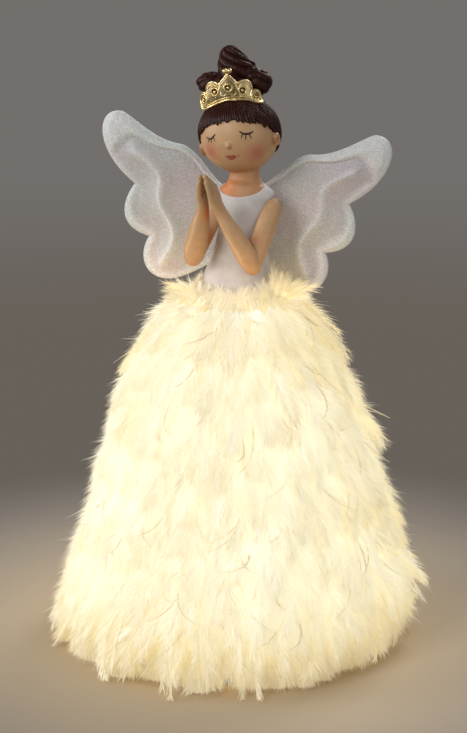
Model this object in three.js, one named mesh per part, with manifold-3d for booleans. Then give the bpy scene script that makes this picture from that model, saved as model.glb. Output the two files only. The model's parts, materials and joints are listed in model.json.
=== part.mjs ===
// A lit angel tree topper: a painted figure with padded wings, on a dome skirt of feather trim.
// Millimetres, +Z up. The figure faces -Y and the origin is at the middle of the base.
import * as THREE from 'three';
import { mergeVertices } from 'three/addons/utils/BufferGeometryUtils.js';
import Module from 'manifold-3d';

const wasm = await Module();
wasm.setup();

// Fits between pieces
const GLUE_GAP = 0.3;
const RUNNING_GAP = 0.4;

// Skirt shell: a thin dome that carries the trim and the figure
const SHELL_HEIGHT = 172;
const SHELL_FOOT_RADIUS = 68;
const SHELL_TOP_RADIUS = 15;
const SHELL_WALL = 1.6;
const SHELL_TOP_WALL = 2.4;
const SHELL_FALL = 1.6;
const SHELL_SHOULDER = 0.75;
const SKIRT_FACETS = 40;

// Feather tiers: rings of trim, each hanging over the one below
const TIER_COUNT = 10;
const TIER_HANG = 26;
const FEATHER_DEPTH = 17.5;
const HEM_FLARE = 11;
const SHOULDER_FLARE = 4;
const HEM_TUCK = 12;
const TUFT_LIP = 1;
const TUFT_SWING = 2.2;
const TUFT_DROP = 1.8;
const CREST_RECESS = 5.5;
const CREST_CLEARANCE = 1.2;
const TIER_SWELL_PLACE = 0.45;
const TIER_SWELL_LIP = 0.6;
const TIER_GAP = 0.4;
const FLOOR_CLEARANCE = 0.6;

// Waist trim: a short ruff round the foot of the bodice
const TRIM_HEIGHT = 12;
const TRIM_FOOT_RADIUS = 30;
const TRIM_TOP_RADIUS = 22;
const TRIM_CORE_RADIUS = 14;

// Base plate
const PLATE_THICKNESS = 3;
const SPIGOT_HEIGHT = 6;
const SPIGOT_WALL = 2;

// Tree socket: a blind tube for the top shoot
const SOCKET_HEIGHT = 90;
const SOCKET_BORE_RADIUS = 12;
const SOCKET_WALL = 1.5;
const SOCKET_FLANGE_RADIUS = 17;
const SOCKET_FLANGE_THICKNESS = 1.5;
const SOCKET_RECESS = 0.5;

// Battery bay: two cells side by side behind the tree socket
const CELL_RADIUS = 7.2;
const CELL_LENGTH = 49.5;
const CELL_BUTTON_RADIUS = 2.7;
const CELL_BUTTON_LENGTH = 1;
const CELL_SPACING = 15.2;
const CONTACT_THICKNESS = 0.6;
const CONTACT_SIZE = 9;
const BAY_WALL = 1.5;

// Battery door and its stub pins
const DOOR_PIN_RADIUS = 0.8;
const DOOR_PIN_LENGTH = 2;
const DOOR_PIN_GAP = 0.3;
const DOOR_PIN_END_GAP = 0.5;

// Power switch
const SWITCH_DISTANCE = 40;
const SWITCH_TRAVEL = 3;
const SWITCH_STEM = 4;
const SWITCH_HEAD_LENGTH = 7;
const SWITCH_HEAD_WIDTH = 6;
const SWITCH_HEAD_THICKNESS = 2.2;
const SWITCH_BODY_WALL = 1.8;
const SWITCH_BODY_HEIGHT = 6;
const SWITCH_RECESS = 0.8;

// Light string, wound on the dome's inner wall
const WIRE_DIAMETER = 1.2;
const WIRE_LOOPS = 5;
const WIRE_STEPS = 20;
const WIRE_SIDES = 6;
const WIRE_START_HEIGHT = 16;
const WIRE_END_HEIGHT = 138;
const WIRE_LEAD_STEPS = 6;
const WIRE_LEAD_REACH = 7;
const WIRE_LEAD_LIFT = 2;
const WIRE_LEAD_SWEEP = 14;
const LED_COUNT = 12;
const LED_RADIUS = 1.8;
const LED_HALF_HEIGHT = 2.6;

// Screw that holds the figure on the dome
const SCREW_RADIUS = 1.5;
const SCREW_HEAD_RADIUS = 3;
const SCREW_HEAD_HEIGHT = 2.2;
const SCREW_GRIP = 14;
const WASHER_RADIUS = 5;
const WASHER_THICKNESS = 1;

// Torso, as oval sections above the dome's top: height, half width, half depth, shift in X and in Y
const TORSO_SECTIONS = [
  [0, 19.5, 19.5, 0, 0],
  [14, 17.3, 16.6, 0, 2],
  [27, 13.2, 11.8, 0.2, 4.5],
  [40, 11.2, 10.2, 0.8, 6.4],
  [50, 12.8, 9.8, 1.1, 7.6],
  [54.5, 14, 8.8, 1.2, 8],
  [57.5, 12.4, 8, 1.2, 8],
  [60.5, 8.2, 7.4, 1.2, 8],
];
const TORSO_SIDES = 24;

// Head and hair. The places of the head, arms and wings are above the dome's top.
const HEAD_RADIUS = 19.3;
const HEAD_HALF_HEIGHT = 19;
const HEAD_PLACE = [-1.6, 8, 83.5];
const HEAD_ROLL = -11;
const HEAD_YAW = 2;
const NECK_RADIUS = 7.4;
const EAR_SIZE = [2, 2.4, 3.4];
const EAR_PLACE = [19.4, -2.5, -4.5];
const NOSE_SIZE = [1.9, 1.8, 1.7];
const NOSE_HEIGHT = -2.4;
const HAIR_THICKNESS = 1.5;
const FRINGE_HEIGHT = 8.7;
const FRINGE_FRONT = 16.6;
const FRINGE_SLOPE = 36;

// Bun lobes in the head's frame: place and three half sizes
const BUN_LOBES = [
  [-0.8, 7, 23.4, 11.5, 9.6, 7.5],
  [2.8, 6.4, 34.4, 8.6, 8.4, 8.2],
  [-12, 5, 27, 5.4, 5.2, 5],
  [11.6, 8, 22.8, 6.4, 6, 5.8],
  [0.5, 13, 30.6, 7, 6.6, 6.6],
];

// Crown: an open tiara in front of the bun, as a bent band whose top edge rises in humps
const CROWN_RADIUS = 17;
const CROWN_PLACE = [-4.25, 6.2, 0];
const CROWN_TURN = 16;
const CROWN_LEAN = -3;
const CROWN_ROLL = 6;
const CROWN_THICKNESS = 1.6;
const CROWN_FOOT = 11;
const CROWN_TOP = 26.3;
const CROWN_DROP = 7.6;
const CROWN_HALF_ANGLE = 66;
const CROWN_STEPS = 40;
const CROWN_HUMPS = [[0, 4, 9], [29, 3, 7], [51, 1.2, 7]];
const CROWN_BALL_RADIUS = 1.3;

// Arms: joints of the limb, with their radii. The palms meet in front of the chest.
const ARM_RADII = { shoulder: 4.8, elbow: 4.3, wrist: 3.2 };
const LEFT_ARM = {
  shoulder: [16.2, 8, 49.7],
  elbow: [12.7, -13, 22.7],
  wrist: [-0.5, -22.5, 50.7],
  fingertip: [-5, -31, 69.2],
};
const RIGHT_ARM = {
  shoulder: [-13.8, 8, 49.7],
  elbow: [-18.1, -13, 24.7],
  wrist: [-9.5, -22.5, 50.7],
  fingertip: [-7.6, -31, 69.2],
};
const HAND_HALF_THICKNESS = 2;
const HAND_HALF_WIDTH = 3.8;
const HAND_OVERRUN = 1.5;

// Wings: one outline for both sides, from the pair's centre line outwards.
// The layers give how far in from the edge, as a share, and how thick the pad is there.
const WING_PAIR_PLACE = [-5, 22, 47.7];
const WING_PAIR_TWIST = 12;
const WING_PAIR_ROLL = 3.3;
const WING_ROOT = 8;
const WING_ROOT_TOP = 8;
const WING_ROOT_FOOT = -30;
const WING_CURVES = [
  [17, 12, 23, 25, 33, 26.2],
  [45, 26, 55, 34.5, 63.5, 38.5],
  [78, 39.5, 77, 17, 53.7, 2.8],
  [60, -8, 60, -20.5, 43.5, -23.1],
  [48, -32, 44.5, -43, 34, -43.5],
  [26, -44, 16, -36, WING_ROOT, WING_ROOT_FOOT],
];
const WING_SPLAY = { left: 0, right: 3.7 };
const WING_SHIFT = { left: 0, right: 1.8 };
const WING_CENTRE = [32, -4];
const WING_STEPS = 46;
const WING_THICKNESS = 8;
const WING_LAYERS = [[0.025, 0.55], [0.07, 0.72], [0.14, 0.45], [0.28, 0.85], [0.6, 1]];
const YOKE_SIDE_GAP = 0.6;
const YOKE_TOP = 7;
const YOKE_FOOT = WING_ROOT_FOOT;
const YOKE_REACH = 10;

const COLOURS = {
  feather: 0xfff6e0,
  plastic: 0xf2efe8,
  metal: 0xc9c9c6,
  cell: 0x3d6f52,
  black: 0x1d1d1f,
  lamp: 0xffe2a8,
  wire: 0xd9c7a0,
  dress: 0xf1eeea,
  skin: 0xc69c74,
  hair: 0x35181a,
  gold: 0xd9a63c,
  wing: 0xe4e2e4,
};

const root = new THREE.Group();

function add(name, geometry, colour, look = {}, parent = root) {
  const material = new THREE.MeshStandardMaterial({ color: colour, roughness: 0.6, metalness: 0, ...look });
  const mesh = new THREE.Mesh(geometry, material);
  mesh.name = name;
  parent.add(mesh);
  return mesh;
}

// Solids and their cuts

function bare(geometry) {
  const copy = geometry.clone();
  copy.deleteAttribute('normal');
  copy.deleteAttribute('uv');
  return mergeVertices(copy, 1e-4);
}

function solid(geometry) {
  const merged = bare(geometry);
  return new wasm.Manifold(new wasm.Mesh({
    numProp: 3,
    vertProperties: new Float32Array(merged.attributes.position.array),
    triVerts: new Uint32Array(merged.index.array),
  }));
}

function geometryOf(body) {
  const mesh = body.getMesh();
  const geometry = new THREE.BufferGeometry();
  geometry.setAttribute('position', new THREE.BufferAttribute(new Float32Array(mesh.vertProperties), 3));
  geometry.setIndex(new THREE.BufferAttribute(new Uint32Array(mesh.triVerts), 1));
  geometry.computeVertexNormals();
  return geometry;
}

function cut(geometry, ...tools) {
  return geometryOf(tools.reduce((body, tool) => body.subtract(solid(tool)), solid(geometry)));
}

function join(first, ...others) {
  return geometryOf(others.reduce((body, other) => body.add(solid(other)), solid(first)));
}

// A closed skin over rings of points. A looped skin joins its last ring to its first, others get end caps.
function skin(rings, looped = false) {
  const count = rings[0].length;
  const points = rings.flat();
  const triangles = [];
  const bands = looped ? rings.length : rings.length - 1;
  for (let band = 0; band < bands; band += 1) {
    const here = band * count;
    const next = ((band + 1) % rings.length) * count;
    for (let side = 0; side < count; side += 1) {
      const after = (side + 1) % count;
      triangles.push(here + side, here + after, next + after);
      triangles.push(here + side, next + after, next + side);
    }
  }
  if (!looped) {
    capRing(points, triangles, 0, count, true);
    capRing(points, triangles, (rings.length - 1) * count, count, false);
  }
  return facingOut(points, triangles);
}

function capRing(points, triangles, start, count, reversed) {
  const middle = new THREE.Vector3();
  for (let side = 0; side < count; side += 1) {
    middle.addScaledVector(points[start + side], 1 / count);
  }
  const hub = points.push(middle) - 1;
  for (let side = 0; side < count; side += 1) {
    const here = start + side;
    const after = start + ((side + 1) % count);
    triangles.push(hub, ...(reversed ? [after, here] : [here, after]));
  }
}

function facingOut(points, triangles) {
  let volume = 0;
  for (let corner = 0; corner < triangles.length; corner += 3) {
    const [a, b, c] = triangles.slice(corner, corner + 3).map((index) => points[index]);
    volume += a.dot(new THREE.Vector3().crossVectors(b, c));
  }
  const ordered = volume > 0 ? triangles : triangles.slice().reverse();
  const geometry = new THREE.BufferGeometry().setFromPoints(points);
  geometry.setIndex(ordered);
  geometry.computeVertexNormals();
  return geometry;
}

// A body turned about Z, from its profile of [radius, height] points
function turned(profile, facets) {
  const geometry = new THREE.LatheGeometry(profile.map(([r, z]) => new THREE.Vector2(r, z)), facets);
  geometry.rotateX(Math.PI / 2);
  const points = [];
  const merged = bare(geometry);
  const position = merged.attributes.position;
  for (let index = 0; index < position.count; index += 1) {
    points.push(new THREE.Vector3().fromBufferAttribute(position, index));
  }
  return facingOut(points, withoutSlivers(Array.from(merged.index.array)));
}

function withoutSlivers(triangles) {
  const kept = [];
  for (let corner = 0; corner < triangles.length; corner += 3) {
    const [a, b, c] = triangles.slice(corner, corner + 3);
    if (a !== b && b !== c && c !== a) {
      kept.push(a, b, c);
    }
  }
  return kept;
}

function block(width, depth, height, x, y, z) {
  return new THREE.BoxGeometry(width, depth, height).translate(x, y, z);
}

function rod(radius, length, facets = 16) {
  return new THREE.CylinderGeometry(radius, radius, length, facets).rotateX(Math.PI / 2);
}

function ovoid([x, y, z], facets = 24, rings = 14) {
  return new THREE.SphereGeometry(1, facets, rings).rotateX(Math.PI / 2).scale(x, y, z);
}

function tapered(from, to, fromRadius, toRadius, facets = 10) {
  const start = new THREE.Vector3(...from);
  const end = new THREE.Vector3(...to);
  const along = end.clone().sub(start);
  const geometry = new THREE.CylinderGeometry(toRadius, fromRadius, along.length(), facets);
  geometry.applyQuaternion(new THREE.Quaternion().setFromUnitVectors(
    new THREE.Vector3(0, 1, 0),
    along.clone().normalize(),
  ));
  const middle = start.add(end).multiplyScalar(0.5);
  return geometry.translate(middle.x, middle.y, middle.z);
}

const radians = THREE.MathUtils.degToRad;

// Skirt: the dome's radius, and the heights where the tiers are glued and where their tips hang

function domeRadius(height) {
  const rise = Math.min(Math.max(height / SHELL_HEIGHT, 0), 1);
  const swell = (1 - rise ** SHELL_FALL) ** SHELL_SHOULDER;
  return SHELL_TOP_RADIUS + (SHELL_FOOT_RADIUS - SHELL_TOP_RADIUS) * swell;
}

const tipHeights = [];
const rootHeights = [];
for (let tier = 0; tier <= TIER_COUNT; tier += 1) {
  const rise = tier / TIER_COUNT;
  tipHeights.push(SHELL_HEIGHT * rise);
  rootHeights.push(SHELL_HEIGHT * rise + TIER_HANG * 4 * rise * (1 - rise));
}

// The dome is straight between the tiers' roots, so the trim lies flat on it
function shellRadius(height) {
  const above = rootHeights.findIndex((rootHeight) => rootHeight >= height);
  if (above < 1) {
    return domeRadius(rootHeights[0]);
  }
  const [low, high] = [rootHeights[above - 1], rootHeights[above]];
  return THREE.MathUtils.mapLinear(height, low, high, domeRadius(low), domeRadius(high));
}

function featherRadius(height) {
  const rise = height / SHELL_HEIGHT;
  const flare = HEM_FLARE * (1 - rise) ** 6 + SHOULDER_FLARE * rise ** 5;
  return domeRadius(height) + FEATHER_DEPTH + flare;
}

const shellFoot = PLATE_THICKNESS + GLUE_GAP;
const shellCeiling = SHELL_HEIGHT - SHELL_TOP_WALL;
const screwHole = SCREW_RADIUS + RUNNING_GAP;

function skirtShell() {
  const between = rootHeights.filter((height) => height > shellFoot && height < SHELL_HEIGHT);
  const inside = between.filter((height) => height < shellCeiling);
  const heights = [shellFoot, ...between, SHELL_HEIGHT];
  const innerHeights = [shellFoot, ...inside, shellCeiling];
  const outer = heights.map((height) => [shellRadius(height), height]);
  const inner = innerHeights.map((height) => [shellRadius(height) - SHELL_WALL, height]).reverse();
  const hole = [[screwHole, SHELL_HEIGHT], [screwHole, shellCeiling]];
  return turned([...outer, ...hole, ...inner, outer[0]], SKIRT_FACETS);
}

function aroundAxis(radius, height, step) {
  const angle = (step / SKIRT_FACETS) * Math.PI * 2;
  return new THREE.Vector3(radius * Math.sin(angle), -radius * Math.cos(angle), height);
}

// The tufts stand out and hang down by turns, step by step round the skirt
function tuftSide(tier, step) {
  return (step + tier) % 2 === 0 ? 1 : -1;
}

function tuftLip(tier, step) {
  return TUFT_LIP + TUFT_SWING * tuftSide(tier, step);
}

// A tier's lower edge, tucked in and level where it is the hem
function tierTip(tier, step) {
  const radius = featherRadius(tipHeights[tier]) + tuftLip(tier, step);
  if (tier === 0) {
    return [radius - HEM_TUCK, tipHeights[tier]];
  }
  return [radius, tipHeights[tier] - TUFT_DROP * tuftSide(tier, step)];
}

// A tier's upper edge, which lies back under the tufts of the tier above
function tierCrest(tier, step) {
  const above = tier + 1;
  const height = tipHeights[above];
  if (above === TIER_COUNT) {
    return [featherRadius(height) - GLUE_GAP, height];
  }
  const radius = featherRadius(height) - CREST_RECESS;
  const [tipRadius, tipHeight] = tierTip(above, step);
  const rootRadius = shellRadius(rootHeights[above]) + GLUE_GAP;
  const under = THREE.MathUtils.mapLinear(radius, rootRadius, tipRadius, rootHeights[above], tipHeight);
  return [radius, under - CREST_CLEARANCE];
}

function featherTier(tier) {
  const half = TIER_GAP / 2;
  const [rootLow, rootHigh] = [rootHeights[tier], rootHeights[tier + 1]];
  const lowest = tier === 0 ? FLOOR_CLEARANCE : half;
  const swell = THREE.MathUtils.lerp(tipHeights[tier], tipHeights[tier + 1], TIER_SWELL_PLACE);
  const sections = [];
  for (let step = 0; step < SKIRT_FACETS; step += 1) {
    const [tipRadius, tipHeight] = tierTip(tier, step);
    const [crestRadius, crestHeight] = tierCrest(tier, step);
    sections.push([
      aroundAxis(shellRadius(rootLow) + GLUE_GAP, rootLow + lowest, step),
      aroundAxis(tipRadius, tipHeight + lowest, step),
      aroundAxis(featherRadius(swell) + tuftLip(tier, step) * TIER_SWELL_LIP, swell, step),
      aroundAxis(crestRadius, crestHeight - half, step),
      aroundAxis(shellRadius(rootHigh) + GLUE_GAP, rootHigh - half, step),
    ]);
  }
  return skin(sections, true);
}

add('skirt_shell', skirtShell(), COLOURS.plastic, { roughness: 0.5, transparent: true, opacity: 0.8 });
for (let tier = 0; tier < TIER_COUNT; tier += 1) {
  const name = `feather_tier_${String(tier + 1).padStart(2, '0')}`;
  add(name, featherTier(tier), COLOURS.feather, { roughness: 0.95 });
}

// Base plate, with the openings for the tree socket, the battery door and the switch

const cellSeat = PLATE_THICKNESS + RUNNING_GAP;
const cellHeight = cellSeat + CELL_RADIUS;
const bayLength = CELL_LENGTH + CELL_BUTTON_LENGTH + 2 * CONTACT_THICKNESS + 4 * RUNNING_GAP;
const bayWidth = CELL_SPACING + 2 * CELL_RADIUS + 2 * RUNNING_GAP;
const bayCeiling = cellHeight + CELL_RADIUS + RUNNING_GAP;
const bayNear = SOCKET_FLANGE_RADIUS + RUNNING_GAP + BAY_WALL;
const bayMiddle = bayNear + bayWidth / 2;
const doorAxisHeight = PLATE_THICKNESS / 2;
const doorHinge = bayNear + bayWidth - doorAxisHeight - RUNNING_GAP;
const doorLength = bayLength - 2 * RUNNING_GAP;
const socketOuter = SOCKET_BORE_RADIUS + SOCKET_WALL;
const slotLength = SWITCH_STEM + SWITCH_TRAVEL + 2 * RUNNING_GAP;
const slotWidth = SWITCH_STEM + 2 * RUNNING_GAP;

function basePlate() {
  const spigotTop = PLATE_THICKNESS + SPIGOT_HEIGHT;
  const spigotOuter = shellRadius(spigotTop) - SHELL_WALL - GLUE_GAP;
  const spigotInner = spigotOuter - SPIGOT_WALL;
  const plateHole = socketOuter + RUNNING_GAP;
  const profile = [
    [plateHole, 0],
    [SHELL_FOOT_RADIUS, 0],
    [SHELL_FOOT_RADIUS, PLATE_THICKNESS],
    [spigotOuter, PLATE_THICKNESS],
    [spigotOuter, spigotTop],
    [spigotInner, spigotTop],
    [spigotInner, PLATE_THICKNESS],
    [plateHole, PLATE_THICKNESS],
    [plateHole, 0],
  ];
  const through = 3 * PLATE_THICKNESS;
  const doorHole = block(bayLength, bayWidth, through, 0, bayMiddle, 0);
  const switchSlot = block(slotLength, slotWidth, through, 0, -SWITCH_DISTANCE, 0);
  const boreLength = doorLength + 2 * (DOOR_PIN_LENGTH + DOOR_PIN_END_GAP);
  const pinBore = rod(DOOR_PIN_RADIUS + DOOR_PIN_GAP, boreLength, 12);
  pinBore.rotateY(Math.PI / 2).translate(0, doorHinge, doorAxisHeight);
  return cut(turned(profile, SKIRT_FACETS), doorHole, switchSlot, pinBore);
}

function treeSocket() {
  const seat = PLATE_THICKNESS + GLUE_GAP;
  return turned([
    [0, SOCKET_HEIGHT],
    [socketOuter, SOCKET_HEIGHT],
    [socketOuter, seat + SOCKET_FLANGE_THICKNESS],
    [SOCKET_FLANGE_RADIUS, seat + SOCKET_FLANGE_THICKNESS],
    [SOCKET_FLANGE_RADIUS, seat],
    [socketOuter, seat],
    [socketOuter, SOCKET_RECESS],
    [SOCKET_BORE_RADIUS, SOCKET_RECESS],
    [SOCKET_BORE_RADIUS, SOCKET_HEIGHT - SOCKET_WALL],
    [0, SOCKET_HEIGHT - SOCKET_WALL],
  ], 24);
}

add('base_plate', basePlate(), COLOURS.plastic);
add('tree_socket', treeSocket(), COLOURS.plastic);

// Batteries, their box, contacts and door

function batteryBox() {
  const seat = PLATE_THICKNESS + GLUE_GAP;
  const height = bayCeiling + BAY_WALL - seat;
  const outside = block(
    bayLength + 2 * BAY_WALL, bayWidth + 2 * BAY_WALL, height, 0, bayMiddle, seat + height / 2,
  );
  const hollow = block(bayLength, bayWidth, 2 * (bayCeiling - seat), 0, bayMiddle, seat);
  return cut(outside, hollow);
}

function batteryCell() {
  const half = (CELL_LENGTH + CELL_BUTTON_LENGTH) / 2;
  return turned([
    [0, -half],
    [CELL_RADIUS, -half],
    [CELL_RADIUS, half - CELL_BUTTON_LENGTH],
    [CELL_BUTTON_RADIUS, half - CELL_BUTTON_LENGTH],
    [CELL_BUTTON_RADIUS, half],
    [0, half],
  ], 20);
}

function batteryDoor() {
  const free = bayNear + RUNNING_GAP;
  const outline = new THREE.Shape();
  outline.moveTo(free, 0);
  outline.lineTo(doorHinge, 0);
  outline.absarc(doorHinge, doorAxisHeight, doorAxisHeight, -Math.PI / 2, Math.PI / 2, false);
  outline.lineTo(free, PLATE_THICKNESS);
  const leaf = new THREE.ExtrudeGeometry(outline, {
    depth: doorLength, bevelEnabled: false, curveSegments: 8,
  });
  leaf.translate(0, 0, -doorLength / 2);
  leaf.applyMatrix4(new THREE.Matrix4().makeBasis(
    new THREE.Vector3(0, 1, 0),
    new THREE.Vector3(0, 0, 1),
    new THREE.Vector3(1, 0, 0),
  ));
  const pins = rod(DOOR_PIN_RADIUS, doorLength + 2 * DOOR_PIN_LENGTH, 12);
  pins.rotateY(Math.PI / 2).translate(0, doorHinge, doorAxisHeight);
  return join(leaf, pins);
}

add('battery_box', batteryBox(), COLOURS.plastic);
add('battery_door', batteryDoor(), COLOURS.plastic);
for (const side of [-1, 1]) {
  const cell = add(`battery_${side < 0 ? 1 : 2}`, batteryCell(), COLOURS.cell, { roughness: 0.4 });
  cell.position.set(0, bayMiddle + (side * CELL_SPACING) / 2, cellHeight);
  cell.rotation.y = (side * Math.PI) / 2;
}

const contactPlace = bayLength / 2 - RUNNING_GAP - CONTACT_THICKNESS / 2;
const contactLook = { metalness: 1, roughness: 0.3 };

function contact(width, y, side) {
  return block(CONTACT_THICKNESS, width, CONTACT_SIZE, side * contactPlace, y, cellHeight);
}

add('contact_bridge', contact(CELL_SPACING + CONTACT_SIZE, bayMiddle, -1), COLOURS.metal, contactLook);
add('contact_positive', contact(CONTACT_SIZE, bayMiddle + CELL_SPACING / 2, 1), COLOURS.metal, contactLook);
add('contact_negative', contact(CONTACT_SIZE, bayMiddle - CELL_SPACING / 2, 1), COLOURS.metal, contactLook);

// Power switch, drawn on: the stem is at the +X end of its slot

const sliderSeat = PLATE_THICKNESS + GLUE_GAP;
const sliderPlace = SWITCH_TRAVEL / 2;
const switchCavityLength = SWITCH_HEAD_LENGTH + SWITCH_TRAVEL + 2 * RUNNING_GAP;
const switchCavityWidth = SWITCH_HEAD_WIDTH + 2 * RUNNING_GAP;
const switchBodyWidth = switchCavityWidth + 2 * SWITCH_BODY_WALL;

function switchBody() {
  const outside = block(
    switchCavityLength + 2 * SWITCH_BODY_WALL, switchBodyWidth, SWITCH_BODY_HEIGHT,
    0, -SWITCH_DISTANCE, sliderSeat + SWITCH_BODY_HEIGHT / 2,
  );
  const hollowHeight = 2 * (SWITCH_HEAD_THICKNESS + RUNNING_GAP);
  const hollow = block(switchCavityLength, switchCavityWidth, hollowHeight, 0, -SWITCH_DISTANCE, sliderSeat);
  return cut(outside, hollow);
}

function switchSlider() {
  const stemHeight = sliderSeat + SWITCH_HEAD_THICKNESS / 2 - SWITCH_RECESS;
  const stem = block(
    SWITCH_STEM, SWITCH_STEM, stemHeight, sliderPlace, -SWITCH_DISTANCE, SWITCH_RECESS + stemHeight / 2,
  );
  const head = block(
    SWITCH_HEAD_LENGTH, SWITCH_HEAD_WIDTH, SWITCH_HEAD_THICKNESS,
    sliderPlace, -SWITCH_DISTANCE, sliderSeat + SWITCH_HEAD_THICKNESS / 2,
  );
  return join(stem, head);
}

add('switch_body', switchBody(), COLOURS.black);
add('switch_slider', switchSlider(), COLOURS.black);

// Light string: a lead from the switch, then a helix up the dome's inner wall

function wireRadiusAt(height) {
  const wall = (shellRadius(height) - SHELL_WALL) * Math.cos(Math.PI / SKIRT_FACETS);
  return wall - GLUE_GAP - WIRE_DIAMETER / 2;
}

function helixPoint(step) {
  const share = step / (WIRE_LOOPS * WIRE_STEPS);
  const height = THREE.MathUtils.lerp(WIRE_START_HEIGHT, WIRE_END_HEIGHT, share);
  const angle = (step / WIRE_STEPS) * Math.PI * 2 - Math.PI / 3;
  const radius = wireRadiusAt(height);
  return new THREE.Vector3(radius * Math.cos(angle), radius * Math.sin(angle), height);
}

function wirePoints() {
  const exit = new THREE.Vector3(
    0, -SWITCH_DISTANCE - switchBodyWidth / 2 - GLUE_GAP, sliderSeat + SWITCH_BODY_HEIGHT / 2,
  );
  const straight = exit.clone().add(new THREE.Vector3(0, -2 * WIRE_DIAMETER, 0));
  const start = helixPoint(0);
  const along = helixPoint(1).sub(start).normalize();
  const lead = new THREE.CubicBezierCurve3(
    straight,
    straight.clone().add(new THREE.Vector3(0, -WIRE_LEAD_REACH, WIRE_LEAD_LIFT)),
    start.clone().addScaledVector(along, -WIRE_LEAD_SWEEP),
    start,
  );
  const points = [exit, ...lead.getPoints(WIRE_LEAD_STEPS)];
  for (let step = 1; step <= WIRE_LOOPS * WIRE_STEPS; step += 1) {
    points.push(helixPoint(step));
  }
  return points;
}

function tube(points, radius, sides) {
  let across = new THREE.Vector3(0, 0, 1);
  const rings = points.map((point, index) => {
    const before = points[Math.max(index - 1, 0)];
    const after = points[Math.min(index + 1, points.length - 1)];
    const along = after.clone().sub(before).normalize();
    across = across.addScaledVector(along, -across.dot(along)).normalize();
    const third = new THREE.Vector3().crossVectors(along, across);
    const ring = [];
    for (let side = 0; side < sides; side += 1) {
      const angle = (side / sides) * Math.PI * 2;
      ring.push(point.clone()
        .addScaledVector(across, radius * Math.cos(angle))
        .addScaledVector(third, radius * Math.sin(angle)));
    }
    return ring;
  });
  return skin(rings);
}

// Least gap of a wound tube to itself, on points at least half a loop apart
function leastGap(points, diameter) {
  let least = Infinity;
  for (let first = 0; first < points.length; first += 1) {
    for (let second = first + WIRE_STEPS / 2; second < points.length; second += 1) {
      least = Math.min(least, points[first].distanceTo(points[second]) - diameter);
    }
  }
  return least;
}

const wire = wirePoints();
console.log(`led_wire least gap to itself: ${leastGap(wire, WIRE_DIAMETER).toFixed(2)} mm`);
add('led_wire', tube(wire, WIRE_DIAMETER / 2, WIRE_SIDES), COLOURS.wire);

for (let lamp = 1; lamp <= LED_COUNT; lamp += 1) {
  const place = helixPoint(Math.round((lamp / LED_COUNT) * WIRE_LOOPS * WIRE_STEPS) - 2);
  const inward = WIRE_DIAMETER / 2 + GLUE_GAP + LED_RADIUS;
  const reach = Math.hypot(place.x, place.y);
  const name = `led_${String(lamp).padStart(2, '0')}`;
  const bead = ovoid([LED_RADIUS, LED_RADIUS, LED_HALF_HEIGHT], 8, 6);
  const led = add(name, bead, COLOURS.lamp, { emissive: COLOURS.lamp, roughness: 0.2 });
  led.position.set(place.x * (1 - inward / reach), place.y * (1 - inward / reach), place.z);
}

// Figure: torso, with the screw that holds it

const figureFoot = SHELL_HEIGHT + GLUE_GAP;

function aboveFoot([x, y, rise]) {
  return [x, y, figureFoot + rise];
}

function torsoRing([rise, halfWidth, halfDepth, x, y], grow) {
  const ring = [];
  for (let side = 0; side < TORSO_SIDES; side += 1) {
    const angle = (side / TORSO_SIDES) * Math.PI * 2;
    ring.push(new THREE.Vector3(
      x + (halfWidth + grow) * Math.cos(angle),
      y + (halfDepth + grow) * Math.sin(angle),
      figureFoot + rise,
    ));
  }
  return ring;
}

function torso(grow) {
  return skin(TORSO_SECTIONS.map((section) => torsoRing(section, grow)));
}

function figureScrew() {
  const underHead = shellCeiling - WASHER_THICKNESS - 2 * GLUE_GAP;
  return turned([
    [0, underHead - SCREW_HEAD_HEIGHT],
    [SCREW_HEAD_RADIUS, underHead - SCREW_HEAD_HEIGHT],
    [SCREW_HEAD_RADIUS, underHead],
    [SCREW_RADIUS, underHead],
    [SCREW_RADIUS, SHELL_HEIGHT + SCREW_GRIP],
    [0, SHELL_HEIGHT + SCREW_GRIP],
  ], 16);
}

function figureWasher() {
  const top = shellCeiling - GLUE_GAP;
  return turned([
    [screwHole, top],
    [screwHole, top - WASHER_THICKNESS],
    [WASHER_RADIUS, top - WASHER_THICKNESS],
    [WASHER_RADIUS, top],
    [screwHole, top],
  ], 16);
}

const screwBore = rod(screwHole, 2 * (SCREW_GRIP + GLUE_GAP)).translate(0, 0, SHELL_HEIGHT);
add('bodice', cut(torso(0), screwBore), COLOURS.dress, { roughness: 0.7 });
add('figure_screw', figureScrew(), COLOURS.metal, contactLook);
add('figure_washer', figureWasher(), COLOURS.metal, contactLook);

function waistTrim() {
  const foot = figureFoot;
  const swell = THREE.MathUtils.lerp(TRIM_FOOT_RADIUS, TRIM_TOP_RADIUS, 0.3);
  const ruff = turned([
    [TRIM_CORE_RADIUS, foot],
    [TRIM_FOOT_RADIUS, foot],
    [swell, foot + TRIM_HEIGHT / 2],
    [TRIM_TOP_RADIUS, foot + TRIM_HEIGHT],
    [TRIM_CORE_RADIUS, foot + TRIM_HEIGHT],
    [TRIM_CORE_RADIUS, foot],
  ], SKIRT_FACETS);
  return cut(ruff, torso(GLUE_GAP));
}

add('waist_trim', waistTrim(), COLOURS.feather, { roughness: 0.95 });

// Head, hair and crown share the head's tilted frame

const headFrame = new THREE.Group();
headFrame.position.set(...aboveFoot(HEAD_PLACE));
headFrame.rotation.set(0, radians(HEAD_ROLL), radians(HEAD_YAW), 'ZYX');
headFrame.updateMatrix();
root.add(headFrame);

function headSkull(grow) {
  const skull = ovoid([HEAD_RADIUS + grow, HEAD_RADIUS + grow, HEAD_HALF_HEIGHT + grow], 24, 14);
  const [x, y, z] = EAR_PLACE;
  const ears = [-1, 1].map((side) => ovoid(EAR_SIZE.map((half) => half + grow), 8, 6)
    .translate(side * x, y, z));
  return join(skull, ...ears);
}

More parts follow.
